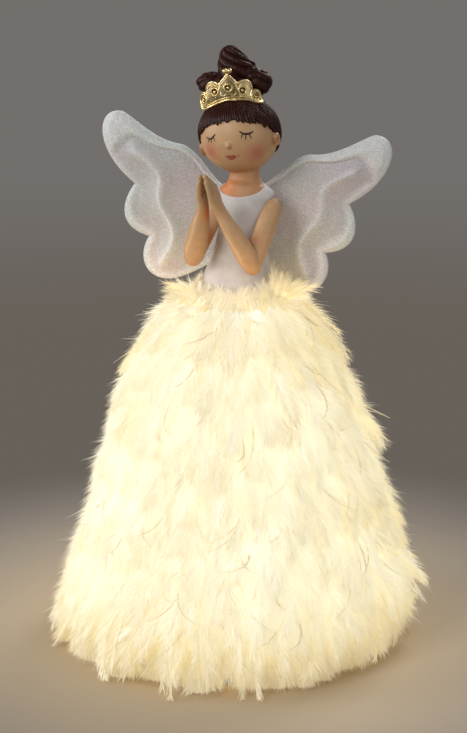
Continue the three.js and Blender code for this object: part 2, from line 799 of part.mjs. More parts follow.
function head() {
  const [, , , x, y] = TORSO_SECTIONS.at(-1);
  const neckFoot = figureFoot + TORSO_SECTIONS.at(-1)[0] + GLUE_GAP;
  const neck = tapered([x, y, neckFoot], [x, y, headFrame.position.z], NECK_RADIUS, NECK_RADIUS, 20);
  neck.applyMatrix4(headFrame.matrix.clone().invert());
  const nose = ovoid(NOSE_SIZE, 8, 6).translate(0, -HEAD_RADIUS, NOSE_HEIGHT);
  return join(headSkull(0), neck, nose);
}

function hairOvoid(grow) {
  const thick = HAIR_THICKNESS + grow;
  return ovoid([HEAD_RADIUS + thick, HEAD_RADIUS + thick, HEAD_HALF_HEIGHT + thick], 24, 14);
}

function hairCap() {
  const reach = 4 * HEAD_RADIUS;
  const face = block(reach, reach, reach, 0, 0, -reach / 2);
  face.rotateX(-radians(FRINGE_SLOPE)).translate(0, -FRINGE_FRONT, FRINGE_HEIGHT);
  return cut(hairOvoid(0), headSkull(GLUE_GAP), face);
}

function hairBun() {
  const lobes = BUN_LOBES.map(([x, y, z, ...sizes]) => ovoid(sizes, 12, 8).translate(x, y, z));
  const tiara = crownSolid(GLUE_GAP).applyMatrix4(crownFrame.matrix);
  return cut(join(...lobes), hairOvoid(GLUE_GAP), tiara);
}

function crownTop(degrees) {
  return CROWN_HUMPS.reduce((height, [place, rise, spread]) => {
    const away = (Math.abs(degrees) - place) / spread;
    return height + rise * Math.exp(-away * away);
  }, CROWN_TOP - CROWN_DROP * (degrees / CROWN_HALF_ANGLE) ** 2);
}

function crownBand(grow) {
  const rings = [];
  const inner = CROWN_RADIUS - CROWN_THICKNESS / 2 - grow;
  const outer = CROWN_RADIUS + CROWN_THICKNESS / 2 + grow;
  const end = CROWN_HALF_ANGLE + THREE.MathUtils.radToDeg(grow / inner);
  for (let step = 0; step <= CROWN_STEPS; step += 1) {
    const degrees = THREE.MathUtils.lerp(-end, end, step / CROWN_STEPS);
    const [x, y] = [Math.sin(radians(degrees)), -Math.cos(radians(degrees))];
    rings.push([
      new THREE.Vector3(inner * x, inner * y, CROWN_FOOT),
      new THREE.Vector3(outer * x, outer * y, CROWN_FOOT),
      new THREE.Vector3(outer * x, outer * y, crownTop(degrees) + grow),
      new THREE.Vector3(inner * x, inner * y, crownTop(degrees) + grow),
    ]);
  }
  return skin(rings);
}

function crownSolid(grow) {
  const radius = CROWN_BALL_RADIUS + grow;
  const balls = [-1, 1].map((side) => ovoid([radius, radius, radius], 8, 6)
    .translate(side * CROWN_BALL_RADIUS * 0.9, -CROWN_RADIUS, crownTop(0) + CROWN_BALL_RADIUS * 0.5));
  return join(crownBand(grow), ...balls);
}

function crown() {
  const hair = hairOvoid(GLUE_GAP).applyMatrix4(crownFrame.matrix.clone().invert());
  return cut(crownSolid(0), hair);
}

const crownFrame = new THREE.Group();
crownFrame.position.set(...CROWN_PLACE);
crownFrame.rotation.set(radians(CROWN_LEAN), radians(CROWN_ROLL), radians(CROWN_TURN));
crownFrame.updateMatrix();
headFrame.add(crownFrame);

add('head', head(), COLOURS.skin, { roughness: 0.5 }, headFrame);
add('hair_cap', hairCap(), COLOURS.hair, { roughness: 0.45 }, headFrame);
add('hair_bun', hairBun(), COLOURS.hair, { roughness: 0.45 }, headFrame);
add('crown', crown(), COLOURS.gold, { metalness: 1, roughness: 0.3 }, crownFrame);

// Arms, with the hands held palm to palm

function hand(wrist, fingertip) {
  const start = new THREE.Vector3(...wrist);
  const along = new THREE.Vector3(...fingertip).sub(start);
  const halfLength = along.length() / 2;
  const middle = start.addScaledVector(along, 0.5);
  along.normalize();
  const across = new THREE.Vector3(1, 0, 0).addScaledVector(along, -along.x).normalize();
  const edge = new THREE.Vector3().crossVectors(along, across);
  const palm = ovoid([HAND_HALF_THICKNESS, HAND_HALF_WIDTH, halfLength + HAND_OVERRUN], 10, 10);
  palm.applyMatrix4(new THREE.Matrix4().makeBasis(across, edge, along));
  return palm.translate(middle.x, middle.y, middle.z);
}

function arm(places) {
  const { shoulder, elbow, wrist } = ARM_RADII;
  const joints = {};
  for (const [name, place] of Object.entries(places)) {
    joints[name] = aboveFoot(place);
  }
  const whole = join(
    ovoid([shoulder, shoulder, shoulder], 10, 8).translate(...joints.shoulder),
    tapered(joints.shoulder, joints.elbow, shoulder, elbow),
    ovoid([elbow, elbow, elbow], 10, 6).translate(...joints.elbow),
    tapered(joints.elbow, joints.wrist, elbow, wrist),
    ovoid([wrist, wrist, wrist], 8, 6).translate(...joints.wrist),
    hand(joints.wrist, joints.fingertip),
  );
  return cut(whole, torso(GLUE_GAP));
}

add('left_arm', arm(LEFT_ARM), COLOURS.skin, { roughness: 0.5 });
add('right_arm', arm(RIGHT_ARM), COLOURS.skin, { roughness: 0.5 });

// Wings: padded, with a drawn-in edge, a sewn channel inside the rim and a crowned panel

const wingFrame = new THREE.Group();
wingFrame.position.set(...aboveFoot(WING_PAIR_PLACE));
wingFrame.rotation.set(0, radians(WING_PAIR_ROLL), radians(WING_PAIR_TWIST), 'ZYX');
wingFrame.updateMatrix();
root.add(wingFrame);

function wingOutline() {
  const outline = new THREE.Shape();
  outline.moveTo(WING_ROOT, WING_ROOT_TOP);
  for (const curve of WING_CURVES) {
    outline.bezierCurveTo(...curve);
  }
  outline.closePath();
  return outline.getSpacedPoints(WING_STEPS).slice(0, -1);
}

function wing(side) {
  const half = WING_THICKNESS / 2;
  const outline = wingOutline();
  const ring = (inset, rise) => outline.map((point) => new THREE.Vector3(
    side * THREE.MathUtils.lerp(point.x, WING_CENTRE[0], inset),
    rise * half,
    THREE.MathUtils.lerp(point.y, WING_CENTRE[1], inset),
  ));
  const front = WING_LAYERS.map(([inset, rise]) => ring(inset, -rise));
  const back = WING_LAYERS.map(([inset, rise]) => ring(inset, rise));
  return skin([...back.reverse(), ring(0, 0), ...front]);
}

function wingTurn(side, splay, shift) {
  const [x, z] = WING_CENTRE;
  return new THREE.Matrix4().makeTranslation(side * (x + shift), 0, z)
    .multiply(new THREE.Matrix4().makeRotationY(side * radians(-splay)))
    .multiply(new THREE.Matrix4().makeTranslation(-side * x, 0, -z));
}

function wingYoke() {
  const height = YOKE_TOP - YOKE_FOOT;
  const reach = (side, name) => {
    const top = new THREE.Vector3(side * WING_ROOT, 0, YOKE_TOP)
      .applyMatrix4(wingTurn(side, WING_SPLAY[name], WING_SHIFT[name]));
    return Math.abs(top.x) - YOKE_SIDE_GAP;
  };
  const [left, right] = [reach(1, 'left'), reach(-1, 'right')];
  const strip = block(
    left + right, YOKE_REACH, height,
    (left - right) / 2, WING_THICKNESS / 2 - YOKE_REACH / 2, YOKE_FOOT + height / 2,
  );
  const back = torso(GLUE_GAP).applyMatrix4(wingFrame.matrix.clone().invert());
  return cut(strip, back);
}

for (const [name, side] of [['left', 1], ['right', -1]]) {
  const pad = add(`${name}_wing`, wing(side), COLOURS.wing, { roughness: 0.8 }, wingFrame);
  pad.applyMatrix4(wingTurn(side, WING_SPLAY[name], WING_SHIFT[name]));
}
add('wing_yoke', wingYoke(), COLOURS.wing, { roughness: 0.8 }, wingFrame);

export default root;
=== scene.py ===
"""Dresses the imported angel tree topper: feathers, padded wings, the painted figure, materials and studio."""
import json
import math

import bpy
import numpy as np
from mathutils import Matrix, Vector


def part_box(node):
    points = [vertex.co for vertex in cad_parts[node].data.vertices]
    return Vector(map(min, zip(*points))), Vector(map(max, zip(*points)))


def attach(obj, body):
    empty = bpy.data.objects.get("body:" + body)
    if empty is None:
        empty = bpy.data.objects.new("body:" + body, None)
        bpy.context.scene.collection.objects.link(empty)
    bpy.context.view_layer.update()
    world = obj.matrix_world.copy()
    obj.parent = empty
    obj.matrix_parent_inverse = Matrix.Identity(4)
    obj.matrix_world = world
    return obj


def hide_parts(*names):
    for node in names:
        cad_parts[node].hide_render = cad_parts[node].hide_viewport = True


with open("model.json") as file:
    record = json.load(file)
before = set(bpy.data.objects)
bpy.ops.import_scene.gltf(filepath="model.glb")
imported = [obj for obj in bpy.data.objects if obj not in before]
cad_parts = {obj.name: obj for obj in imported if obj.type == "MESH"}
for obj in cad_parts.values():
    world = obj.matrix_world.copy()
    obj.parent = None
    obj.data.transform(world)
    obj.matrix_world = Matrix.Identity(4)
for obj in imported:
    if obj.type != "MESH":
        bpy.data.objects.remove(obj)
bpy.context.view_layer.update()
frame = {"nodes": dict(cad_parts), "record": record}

BODY = "topper"
MM = 0.001

# Driving dimensions in millimetres, the same as the solids'
SHELL_HEIGHT = 172
SHELL_FOOT_RADIUS = 68
SHELL_TOP_RADIUS = 15
SHELL_FALL = 1.6
SHELL_SHOULDER = 0.75
TIER_COUNT = 10
FEATHER_DEPTH = 17.5
HEM_FLARE = 11
HEM_FLARE_POWER = 6
SHOULDER_FLARE = 4
SHOULDER_FLARE_POWER = 5
HEM_TUCK = 12
CREST_RECESS = 5.5
FIGURE_FOOT = 172.3
TORSO_SECTIONS = np.array([
    [0, 19.5, 19.5, 0, 0],
    [14, 17.3, 16.6, 0, 2],
    [27, 13.2, 11.8, 0.2, 4.5],
    [40, 11.2, 10.2, 0.8, 6.4],
    [50, 12.8, 9.8, 1.1, 7.6],
    [54.5, 14, 8.8, 1.2, 8],
    [57.5, 12.4, 8, 1.2, 8],
    [60.5, 8.2, 7.4, 1.2, 8],
])
HEAD_PLACE = (-1.6, 8, FIGURE_FOOT + 83.5)
HEAD_TURN = 2
HEAD_TILT = -11
HEAD_RADIUS = 19.3
HEAD_HALF_HEIGHT = 19
EAR_SIZE = (2, 2.4, 3.4)
EAR_PLACE = (19.4, -2.5, -4.5)
EAR_TURN = 18
NOSE_HEIGHT = -2.4
NOSE_DEPTH = 0.1
NOSE_SIZE = (1.6, 1.7, 1.5)
HAIR_THICKNESS = 1.5
FRINGE_HEIGHT = 8.7
FRINGE_FRONT = 16.6
FRINGE_SLOPE = 36
NAPE_DROP = 3
CROWN_SHIFT = (-4.25, 6.2, 0)
CROWN_PITCH = -3
CROWN_TILT = 6
CROWN_TURN = 16
CROWN_RADIUS = 17
CROWN_HALF_ANGLE = 57.5
CROWN_MIDDLE = -4
CROWN_BAND = 21
CROWN_BAND_FALL = 0.012
CROWN_PEAK = 30.8
CROWN_GABLE_SLOPE = 1.25
CROWN_GABLE_CURVE = 0.04
CROWN_GABLE_REACH = 5
CROWN_ARCHES = ((7.9, 23.2, 4.0), (14.0, 18.5, 3.5))
CROWN_EYES = ((0, 23.9, 1.9), (6.7, 22.2, 1.9))
CROWN_ROUNDEL = (13.9, 18.4, 2.7)
CROWN_FOOT = (
    (-17.2, 16.8), (-14.4, 13.2), (-5, 16.4), (0, 17.6), (8, 17.3), (12.5, 15.6), (14.6, 15.7), (17.2, 18),
)
CROWN_SCROLLS = (
    (((3.7, 26.6), (4.0, 24.4), (5.0, 21.6), (6.6, 19.0)), 0.6),
    (((11.6, 22.6), (11.2, 20.6), (10.2, 18.8)), 0.5),
    (((0.9, 20.9), (2.4, 20.1), (3.6, 20.9), (3.4, 22.2)), 0.42),
)
LEFT_ARM = {
    "shoulder": (16.2, 8, 49.7),
    "elbow": (12.7, -13, 22.7),
    "wrist": (-0.5, -22.5, 50.7),
    "fingertip": (-5, -31, 69.2),
}
RIGHT_ARM = {
    "shoulder": (-13.8, 8, 49.7),
    "elbow": (-18.1, -13, 24.7),
    "wrist": (-9.5, -22.5, 50.7),
    "fingertip": (-7.6, -31, 69.2),
}
WING_PLACE = (-5, 22, FIGURE_FOOT + 47.7)
WING_TURN = 12
WING_TILT = 3.3
WING_ROOT = 8
WING_ROOT_TOP = 8
WING_ROOT_FOOT = -30
WING_CURVES = (
    (17, 12, 23, 25, 33, 26.2),
    (45, 26, 55, 34.5, 63.5, 38.5),
    (78, 39.5, 77, 17, 53.7, 2.8),
    (60, -8, 60, -20.5, 43.5, -23.1),
    (48, -32, 44.5, -43, 34, -43.5),
    (26, -44, 16, -36, WING_ROOT, WING_ROOT_FOOT),
)
WING_CENTRE = (32, -4)
WING_SPLAY = {"left": 0, "right": 3.7}
WING_SHIFT = {"left": 0, "right": 1.8}


def turn(axis, degrees):
    return Matrix.Rotation(math.radians(degrees), 4, axis)


HEAD_FRAME = Matrix.Translation(HEAD_PLACE) @ turn("Z", HEAD_TURN) @ turn("Y", HEAD_TILT)
CROWN_LEAN = turn("X", CROWN_PITCH) @ turn("Y", CROWN_TILT) @ turn("Z", CROWN_TURN)
CROWN_FRAME = HEAD_FRAME @ Matrix.Translation(CROWN_SHIFT) @ CROWN_LEAN
WING_FRAME = Matrix.Translation(WING_PLACE) @ turn("Z", WING_TURN) @ turn("Y", WING_TILT)

# Camera, as fitted to the photograph
PHOTO_WIDTH = 467
PHOTO_HEIGHT = 733
SENSOR = 36
LENS = 116.8
CAMERA_PLACE = Vector((393.3, -1080.6, 452))
CAMERA_TARGET = Vector((-1.644, -0.599, 139.75))

# Detail of the mesh helpers
TUBE_START = (0.31, 0.87, 0.38)
POLE_GAP = 0.02
CURVE_STEPS = 24
SOFTEN_FACTOR = 0.5
WAVES_PER_OCTAVE = 4
WAVE_PACE = (0.8, 1.25)
WAVE_PHASE = 6.283
WAVE_HEIGHT = 6


# Mesh helpers

def placed(matrix, points):
    numbers = np.array(matrix)
    return np.asarray(points, dtype=float) @ numbers[:3, :3].T + numbers[:3, 3]


def around(count):
    """Angles of one full turn, evenly spaced."""
    return np.linspace(0, 2 * np.pi, count, endpoint=False)


def unit(vectors):
    return vectors / np.linalg.norm(vectors, axis=-1)[..., None]


def mesh_of(name, points, faces):
    mesh = bpy.data.meshes.new(name)
    mesh.vertices.add(len(points))
    mesh.vertices.foreach_set("co", (np.asarray(points) * MM).astype(np.float32).ravel())
    mesh.loops.add(faces.size)
    mesh.loops.foreach_set("vertex_index", faces.astype(np.int32).ravel())
    mesh.polygons.add(len(faces))
    mesh.polygons.foreach_set("loop_start", np.arange(0, faces.size, faces.shape[1], dtype=np.int32))
    mesh.update(calc_edges=True)
    mesh.shade_smooth()
    return mesh


def add_piece(mesh, material, slot, *nodes):
    piece = bpy.data.objects.new(mesh.name, mesh)
    bpy.context.scene.collection.objects.link(piece)
    mesh.materials.clear()
    mesh.materials.append(material)
    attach(piece, BODY)
    if nodes:
        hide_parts(*nodes)
    return piece


def paint(mesh, name, values):
    """Stores one or three numbers for each vertex, as a colour that a material reads."""
    values = np.asarray(values)
    rows = np.ones((len(mesh.vertices), 4), dtype=np.float32)
    rows[:, :3] = values[:, None] if values.ndim == 1 else values
    layer = mesh.color_attributes.new(name, "FLOAT_COLOR", "POINT")
    layer.data.foreach_set("color", rows.ravel())


def points_of(mesh):
    flat = np.empty(len(mesh.vertices) * 3, dtype=np.float32)
    mesh.vertices.foreach_get("co", flat)
    return flat.reshape(-1, 3).astype(float) / MM


def grid_faces(rows, columns, wrap):
    """Quads of a grid of rows by columns, closed along its columns where wrap is true."""
    last = columns if wrap else columns - 1
    row, column = np.meshgrid(np.arange(rows - 1), np.arange(last), indexing="ij")
    after = (column + 1) % columns
    quads = np.stack([row * columns + column, row * columns + after,
                      (row + 1) * columns + after, (row + 1) * columns + column], axis=-1)
    return quads.reshape(-1, 4)


def loft(rings):
    """A closed skin over rings of equal length, with a point at the middle of each end."""
    rings = np.asarray(rings, dtype=float)
    rows, columns, _ = rings.shape
    first = np.repeat(rings[0].mean(axis=0)[None, None], columns, axis=1)
    last = np.repeat(rings[-1].mean(axis=0)[None, None], columns, axis=1)
    whole = np.concatenate([first, rings, last])
    return whole.reshape(-1, 3), grid_faces(rows + 2, columns, True)


def tube(path, radii, sides=12):
    """Rings round a path, without twist."""
    path = np.asarray(path, dtype=float)
    radii = np.broadcast_to(np.asarray(radii, dtype=float), len(path))
    along = unit(np.gradient(path, axis=0))
    across = np.cross(along[0], TUBE_START)
    angle = around(sides)
    rings = []
    for place, ahead, radius in zip(path, along, radii):
        across = unit(across - ahead * across.dot(ahead))
        third = np.cross(ahead, across)
        rings.append(place + radius * (np.outer(np.cos(angle), across) + np.outer(np.sin(angle), third)))
    return loft(rings)


def sphere_headings(polar, azimuth):
    return np.stack([np.sin(polar) * np.cos(azimuth), np.sin(polar) * np.sin(azimuth), np.cos(polar)], -1)


def ovoid(centre, sizes, matrix=None, columns=36, rows=24):
    polar = np.linspace(POLE_GAP, np.pi - POLE_GAP, rows)
    polar, azimuth = np.meshgrid(polar, around(columns), indexing="ij")
    rings = sphere_headings(polar, azimuth) * np.asarray(sizes)
    if matrix is not None:
        rings = placed(matrix, rings)
    return loft(rings + np.asarray(centre))


def ball(centre, radius, columns=36, rows=24):
    return ovoid(centre, (radius, radius, radius), columns=columns, rows=rows)


def joined(parts):
    """One list of points and quads out of several."""
    points = []
    faces = []
    start = 0
    for part_points, part_faces in parts:
        points.append(part_points)
        faces.append(part_faces + start)
        start += len(part_points)
    return np.concatenate(points), np.concatenate(faces)


def fused(name, parts, voxel, rounds):
    """Closed parts melted into one skin, as a casting is."""
    points, faces = joined(parts)
    rough = bpy.data.objects.new(name, mesh_of(name, points, faces))
    bpy.context.scene.collection.objects.link(rough)
    remesh = rough.modifiers.new("remesh", "REMESH")
    remesh.mode = "VOXEL"
    remesh.voxel_size = voxel * MM
    remesh.use_smooth_shade = True
    soften = rough.modifiers.new("soften", "SMOOTH")
    soften.factor = SOFTEN_FACTOR
    soften.iterations = rounds
    graph = bpy.context.evaluated_depsgraph_get()
    mesh = bpy.data.meshes.new_from_object(rough.evaluated_get(graph))
    source = rough.data
    bpy.data.objects.remove(rough)
    bpy.data.meshes.remove(source)
    mesh.name = name
    mesh.shade_smooth()
    return mesh


def even_steps(points, count, endpoint):
    """Points along a line, evenly spaced by its length."""
    reach = np.concatenate([[0], np.cumsum(np.linalg.norm(np.diff(points, axis=0), axis=1))])
    even = np.linspace(0, reach[-1], count, endpoint=endpoint)
    return np.stack([np.interp(even, reach, line) for line in points.T], axis=1)


def smooth_path(corners, count):
    """A curve through the corner points, evenly spaced along its length."""
    corners = np.asarray(corners, dtype=float)
    ends = np.concatenate([[2 * corners[0] - corners[1]], corners, [2 * corners[-1] - corners[-2]]])
    points = []
    for before, start, finish, after in zip(ends, ends[1:], ends[2:], ends[3:]):
        for share in np.linspace(0, 1, CURVE_STEPS, endpoint=False):
            points.append(0.5 * (2 * start + (finish - before) * share
                                 + (2 * before - 5 * start + 4 * finish - after) * share ** 2
                                 + (3 * start - before - 3 * finish + after) * share ** 3))
    points.append(corners[-1])
    return even_steps(np.array(points), count, True)


def cubic(first, second, third, last, share):
    """Points at the given shares of a curve with four control points."""
    return (first * (1 - share) ** 3 + 3 * second * share * (1 - share) ** 2
            + 3 * third * share ** 2 * (1 - share) + last * share ** 3)


def wave(values, seed, octaves=3):
    """Smooth noise in one to three coordinates, from sums of turned sine waves."""
    rng = np.random.default_rng(seed)
    values = np.asarray(values, dtype=float)
    total = np.zeros(values.shape[:-1])
    size = 1.0
    for _ in range(octaves):
        for _ in range(WAVES_PER_OCTAVE):
            heading = rng.normal(size=values.shape[-1])
            heading /= np.linalg.norm(heading)
            pace = rng.uniform(*WAVE_PACE)
            total += size * np.sin(values @ heading / size * pace + rng.uniform(0, WAVE_PHASE))
        size *= 0.5
    return total / WAVE_HEIGHT


def smoothstep(low, high, value):
    share = np.clip((value - low) / (high - low), 0, 1)
    return share * share * (3 - 2 * share)


def bump(value, width):
    return np.exp(-(value / width) ** 2)


def blended(first, second, share):
    return first * (1 - share) + second * share


def wandering(angle, waves, wander, wander_waves):
    """A wave round a turn, whose places wander back and forth."""
    return np.sin(waves * angle + wander * np.sin(wander_waves * angle))


# Materials

MIX_FACTOR = 0
MIX_FIRST = 6
MIX_SECOND = 7
MIX_RESULT = 2


class Shader:
    """A node material with one Principled shader."""

    def __init__(self, name, **sockets):
        self.material = bpy.data.materials.new(name)
        self.material.use_nodes = True
        self.tree = self.material.node_tree
        self.surface = self.tree.nodes["Principled BSDF"]
        for socket, value in sockets.items():
            self.surface.inputs[socket.replace("_", " ")].default_value = value
        self.coordinates = self.tree.nodes.new("ShaderNodeTexCoord").outputs["Object"]

    def feed(self, socket, value):
        """Links an output to a socket, or sets the socket to a constant."""
        if isinstance(value, bpy.types.NodeSocket):
            self.tree.links.new(value, socket)
        else:
            socket.default_value = value

    def node(self, kind, inputs=(), **settings):
        made = self.tree.nodes.new(kind)
        for key, value in settings.items():
            setattr(made, key, value)
        for key, value in dict(inputs).items():
            self.feed(made.inputs[key], value)
        return made

    def set(self, socket, output):
        self.tree.links.new(output, self.surface.inputs[socket])

    def noise(self, scale, detail=3, stretch=None):
        vector = self.coordinates
        if stretch:
            mapping = self.node("ShaderNodeMapping", {"Vector": vector, "Scale": stretch})
            vector = mapping.outputs["Vector"]
        inputs = {"Vector": vector, "Scale": scale, "Detail": detail}
        return self.node("ShaderNodeTexNoise", inputs).outputs["Fac"]

    def cells(self, scale):
        return self.node("ShaderNodeTexVoronoi", {"Vector": self.coordinates, "Scale": scale})

    def ramp(self, value, *stops):
        made = self.node("ShaderNodeValToRGB", {"Fac": value})
        line = made.color_ramp
        while len(line.elements) < len(stops):
            line.elements.new(0.5)
        for element, (place, colour) in zip(line.elements, stops):
            element.position = place
            element.color = (*colour, 1) if isinstance(colour, tuple) else (colour, colour, colour, 1)
        return made.outputs["Color"]

    def mix(self, factor, first, second, blend="MIX"):
        made = self.node("ShaderNodeMix", data_type="RGBA", blend_type=blend)
        for place, value in ((MIX_FACTOR, factor), (MIX_FIRST, first), (MIX_SECOND, second)):
            self.feed(made.inputs[place], (*value, 1) if isinstance(value, tuple) else value)
        return made.outputs[MIX_RESULT]

    def times(self, first, second):
        return self.mix(1.0, first, second, "MULTIPLY")

    def apart(self, colour):
        return self.node("ShaderNodeSeparateColor", {"Color": colour}).outputs

    def layer(self, name):
        """The colour stored on the vertices under a name."""
        return self.node("ShaderNodeAttribute", attribute_name=name).outputs["Color"]

    def step(self, value, low, high):
        """A value's smooth rise from 0 at one bound to 1 at the other."""
        made = self.node("ShaderNodeMapRange", {"Value": value, "From Min": low, "From Max": high},
                         interpolation_type="SMOOTHSTEP")
        return made.outputs["Result"]

    def rough(self, value, low, high):
        made = self.node("ShaderNodeMapRange", {"Value": value, "To Min": low, "To Max": high})
        self.set("Roughness", made.outputs["Result"])

    def relief(self, height, depth, strength=0.5):
        made = self.node("ShaderNodeBump", {"Height": height, "Distance": depth, "Strength": strength})
        self.set("Normal", made.outputs["Normal"])


FEATHER_TONES = ((0, (0.57, 0.50, 0.36)), (0.5, (0.70, 0.655, 0.54)), (1, (0.78, 0.765, 0.70)))
FEATHER_GLOWS = ((0, (0.14, 0.085, 0.03)), (0.45, (0.63, 0.52, 0.265)), (1, (0.95, 0.955, 0.81)))
SKIN_BLOTCHES = ((0.3, 0.90), (0.7, 1.0))
HAIR_STREAKS = ((0.3, (0.011, 0.0025, 0.0018)), (0.7, (0.060, 0.014, 0.008)))
# Painted shade in the hair's grooves
HAIR_GROOVE_SHADE = (0.006, 0.0015, 0.0015)
GOLD_PATCHES = ((0.35, (0.74, 0.55, 0.22)), (0.65, (0.96, 0.82, 0.50)))
GOLD_TARNISH = (0.10, 0.05, 0.01)
DRESS_TONES = ((0.3, (0.50, 0.475, 0.465)), (0.7, (0.60, 0.575, 0.56)))
FLAKE_SHADES = ((0.1, (0.60, 0.595, 0.595)), (0.6, (0.70, 0.70, 0.70)), (0.93, (0.86, 0.86, 0.86)))
FLAKE_TINTS = ((0.15, (0.94, 1.0, 0.975)), (0.5, (1.0, 0.985, 0.98)), (0.85, (0.98, 0.955, 1.0)))
FLAKE_GLOSS = ((0.3, 0.75), (0.92, 0.28))
WING_DRIFT = ((0.38, (0.95, 1.0, 0.975)), (0.62, (1.0, 0.97, 0.985)))
WING_DULL = (0.72, 0.67, 0.68)
METAL_STREAKS = ((0.3, (0.56, 0.55, 0.53)), (0.7, (0.74, 0.73, 0.71)))
MOULDED_STOPS = (0.3, 0.7)
LAMP_COLOUR = (1.0, 0.76, 0.42, 1)


def feather_material():
    shader = Shader("feather_down", Roughness=0.85, Sheen_Weight=0.15, Emission_Strength=0.48)
    down = shader.apart(shader.layer("down"))
    shader.set("Base Color", shader.ramp(down["Green"], *FEATHER_TONES))
    shader.set("Emission Color", shader.ramp(down["Red"], *FEATHER_GLOWS))
    shader.material.cycles.emission_sampling = "NONE"
    return shader.material


def skin_material():
    shader = Shader("painted_skin", Specular_IOR_Level=0.4)
    blotch = shader.ramp(shader.noise(scale=260, detail=4), *SKIN_BLOTCHES)
    shader.set("Base Color", shader.times(shader.layer("paint"), blotch))
    shader.rough(shader.noise(scale=420), low=0.38, high=0.55)
    shader.relief(shader.noise(scale=900, detail=4, stretch=(1, 1, 0.45)), depth=0.00012)
    return shader.material


def hair_material():
    shader = Shader("painted_hair", Specular_IOR_Level=0.17)
    streak = shader.noise(scale=1500, stretch=(1, 1, 0.12))
    strand = shader.apart(shader.layer("relief"))["Red"]
    # Painted shade: the colour darkens into the grooves between strands
    shader.set("Base Color", shader.mix(strand, HAIR_GROOVE_SHADE, shader.ramp(streak, *HAIR_STREAKS)))
    shader.rough(shader.noise(scale=700), low=0.3, high=0.45)
    shader.relief(streak, depth=0.00018, strength=0.6)
    return shader.material


def gold_material():
    shader = Shader("crown_gold", Metallic=1.0)
    bright = shader.ramp(shader.noise(scale=520, detail=4), *GOLD_PATCHES)
    # Tarnish in the crown's dished hollows, and painted shade on the plate's back
    lit_and_clean = shader.apart(shader.layer("relief"))["Red"]
    shader.set("Base Color", shader.mix(lit_and_clean, GOLD_TARNISH, bright))
    shader.rough(shader.noise(scale=800), low=0.26, high=0.46)
    shader.relief(shader.noise(scale=1400), depth=0.0001)
    return shader.material


def dress_material():
    shader = Shader("painted_dress", Specular_IOR_Level=0.3)
    shader.set("Base Color", shader.ramp(shader.noise(scale=160, detail=4), *DRESS_TONES))
    shader.rough(shader.noise(scale=500), low=0.5, high=0.7)
    shader.relief(shader.noise(scale=1100, detail=4, stretch=(1, 1, 0.4)), depth=0.00015)
    return shader.material


def wing_material():
    shader = Shader("glitter_fabric", Specular_IOR_Level=0.6, Sheen_Weight=0.15)
    flake = shader.cells(scale=2600)
    chance = shader.apart(flake.outputs["Color"])
    tint = shader.ramp(chance["Green"], *FLAKE_TINTS)
    shade = shader.times(shader.ramp(chance["Red"], *FLAKE_SHADES), tint)
    shade = shader.times(shade, shader.ramp(shader.noise(scale=55, detail=2), *WING_DRIFT))
    # Brighter on the glittery band and on the crest's painted highlight, duller elsewhere
    lit_and_clean = shader.apart(shader.layer("relief"))["Red"]
    shader.set("Base Color", shader.mix(lit_and_clean, shader.times(shade, WING_DULL), shade))
    shader.set("Roughness", shader.ramp(chance["Blue"], *FLAKE_GLOSS))
    shader.relief(flake.outputs["Distance"], depth=0.00022, strength=0.8)
    return shader.material


def moulded_material(name, dark, light, low=0.35, high=0.5, **sockets):
    shader = Shader(name, **sockets)
    tones = zip(MOULDED_STOPS, (dark, light))
    shader.set("Base Color", shader.ramp(shader.noise(scale=140, detail=4), *tones))
    shader.rough(shader.noise(scale=900), low, high)
    shader.relief(shader.noise(scale=1800, detail=2), depth=0.00005)
    return shader.material


def metal_material():
    shader = Shader("plated_metal", Metallic=1.0)
    streak = shader.noise(scale=1800, detail=2, stretch=(0.08, 1, 1))
    shader.set("Base Color", shader.ramp(streak, *METAL_STREAKS))
    shader.rough(streak, low=0.22, high=0.42)
    shader.relief(streak, depth=0.00003)
    return shader.material


MATERIALS = {
    "feather": feather_material(),
    "skin": skin_material(),
    "hair": hair_material(),
    "gold": gold_material(),
    "dress": dress_material(),
    "wing_fabric": wing_material(),
    "contact_metal": metal_material(),
    # The shell's emission is painted glow: the lamps' light coming through the plastic
    "shell_plastic": moulded_material("shell_plastic", (0.80, 0.76, 0.66), (0.90, 0.87, 0.80),
                                      Emission_Color=LAMP_COLOUR, Emission_Strength=0.6),
    "base_plastic": moulded_material("base_plastic", (0.70, 0.69, 0.66), (0.78, 0.77, 0.74)),
    "switch_plastic": moulded_material("switch_plastic", (0.018, 0.018, 0.02), (0.035, 0.035, 0.038)),
    "cell_wrap": moulded_material("cell_wrap", (0.05, 0.17, 0.09), (0.075, 0.22, 0.12), low=0.2, high=0.3),
    "wire_sleeve": moulded_material("wire_sleeve", (0.55, 0.36, 0.17), (0.68, 0.5, 0.28),
                                    low=0.15, high=0.25),
    "lamp": moulded_material("lamp", (0.95, 0.80, 0.52), (1.0, 0.88, 0.62), low=0.1, high=0.2,
                             Emission_Color=LAMP_COLOUR, Emission_Strength=1.0),
}


def dress_solids():
    for row in frame["record"]["subparts"]:
        solid = frame["nodes"][row["node"]]
        material = MATERIALS[row["material_slot"]]
        if not solid.material_slots:
            solid.data.materials.append(material)
        for place in solid.material_slots:
            place.material = material


# Feathers: sizes in millimetres, shares and glows from 0 to 1, angles in radians unless they say degrees

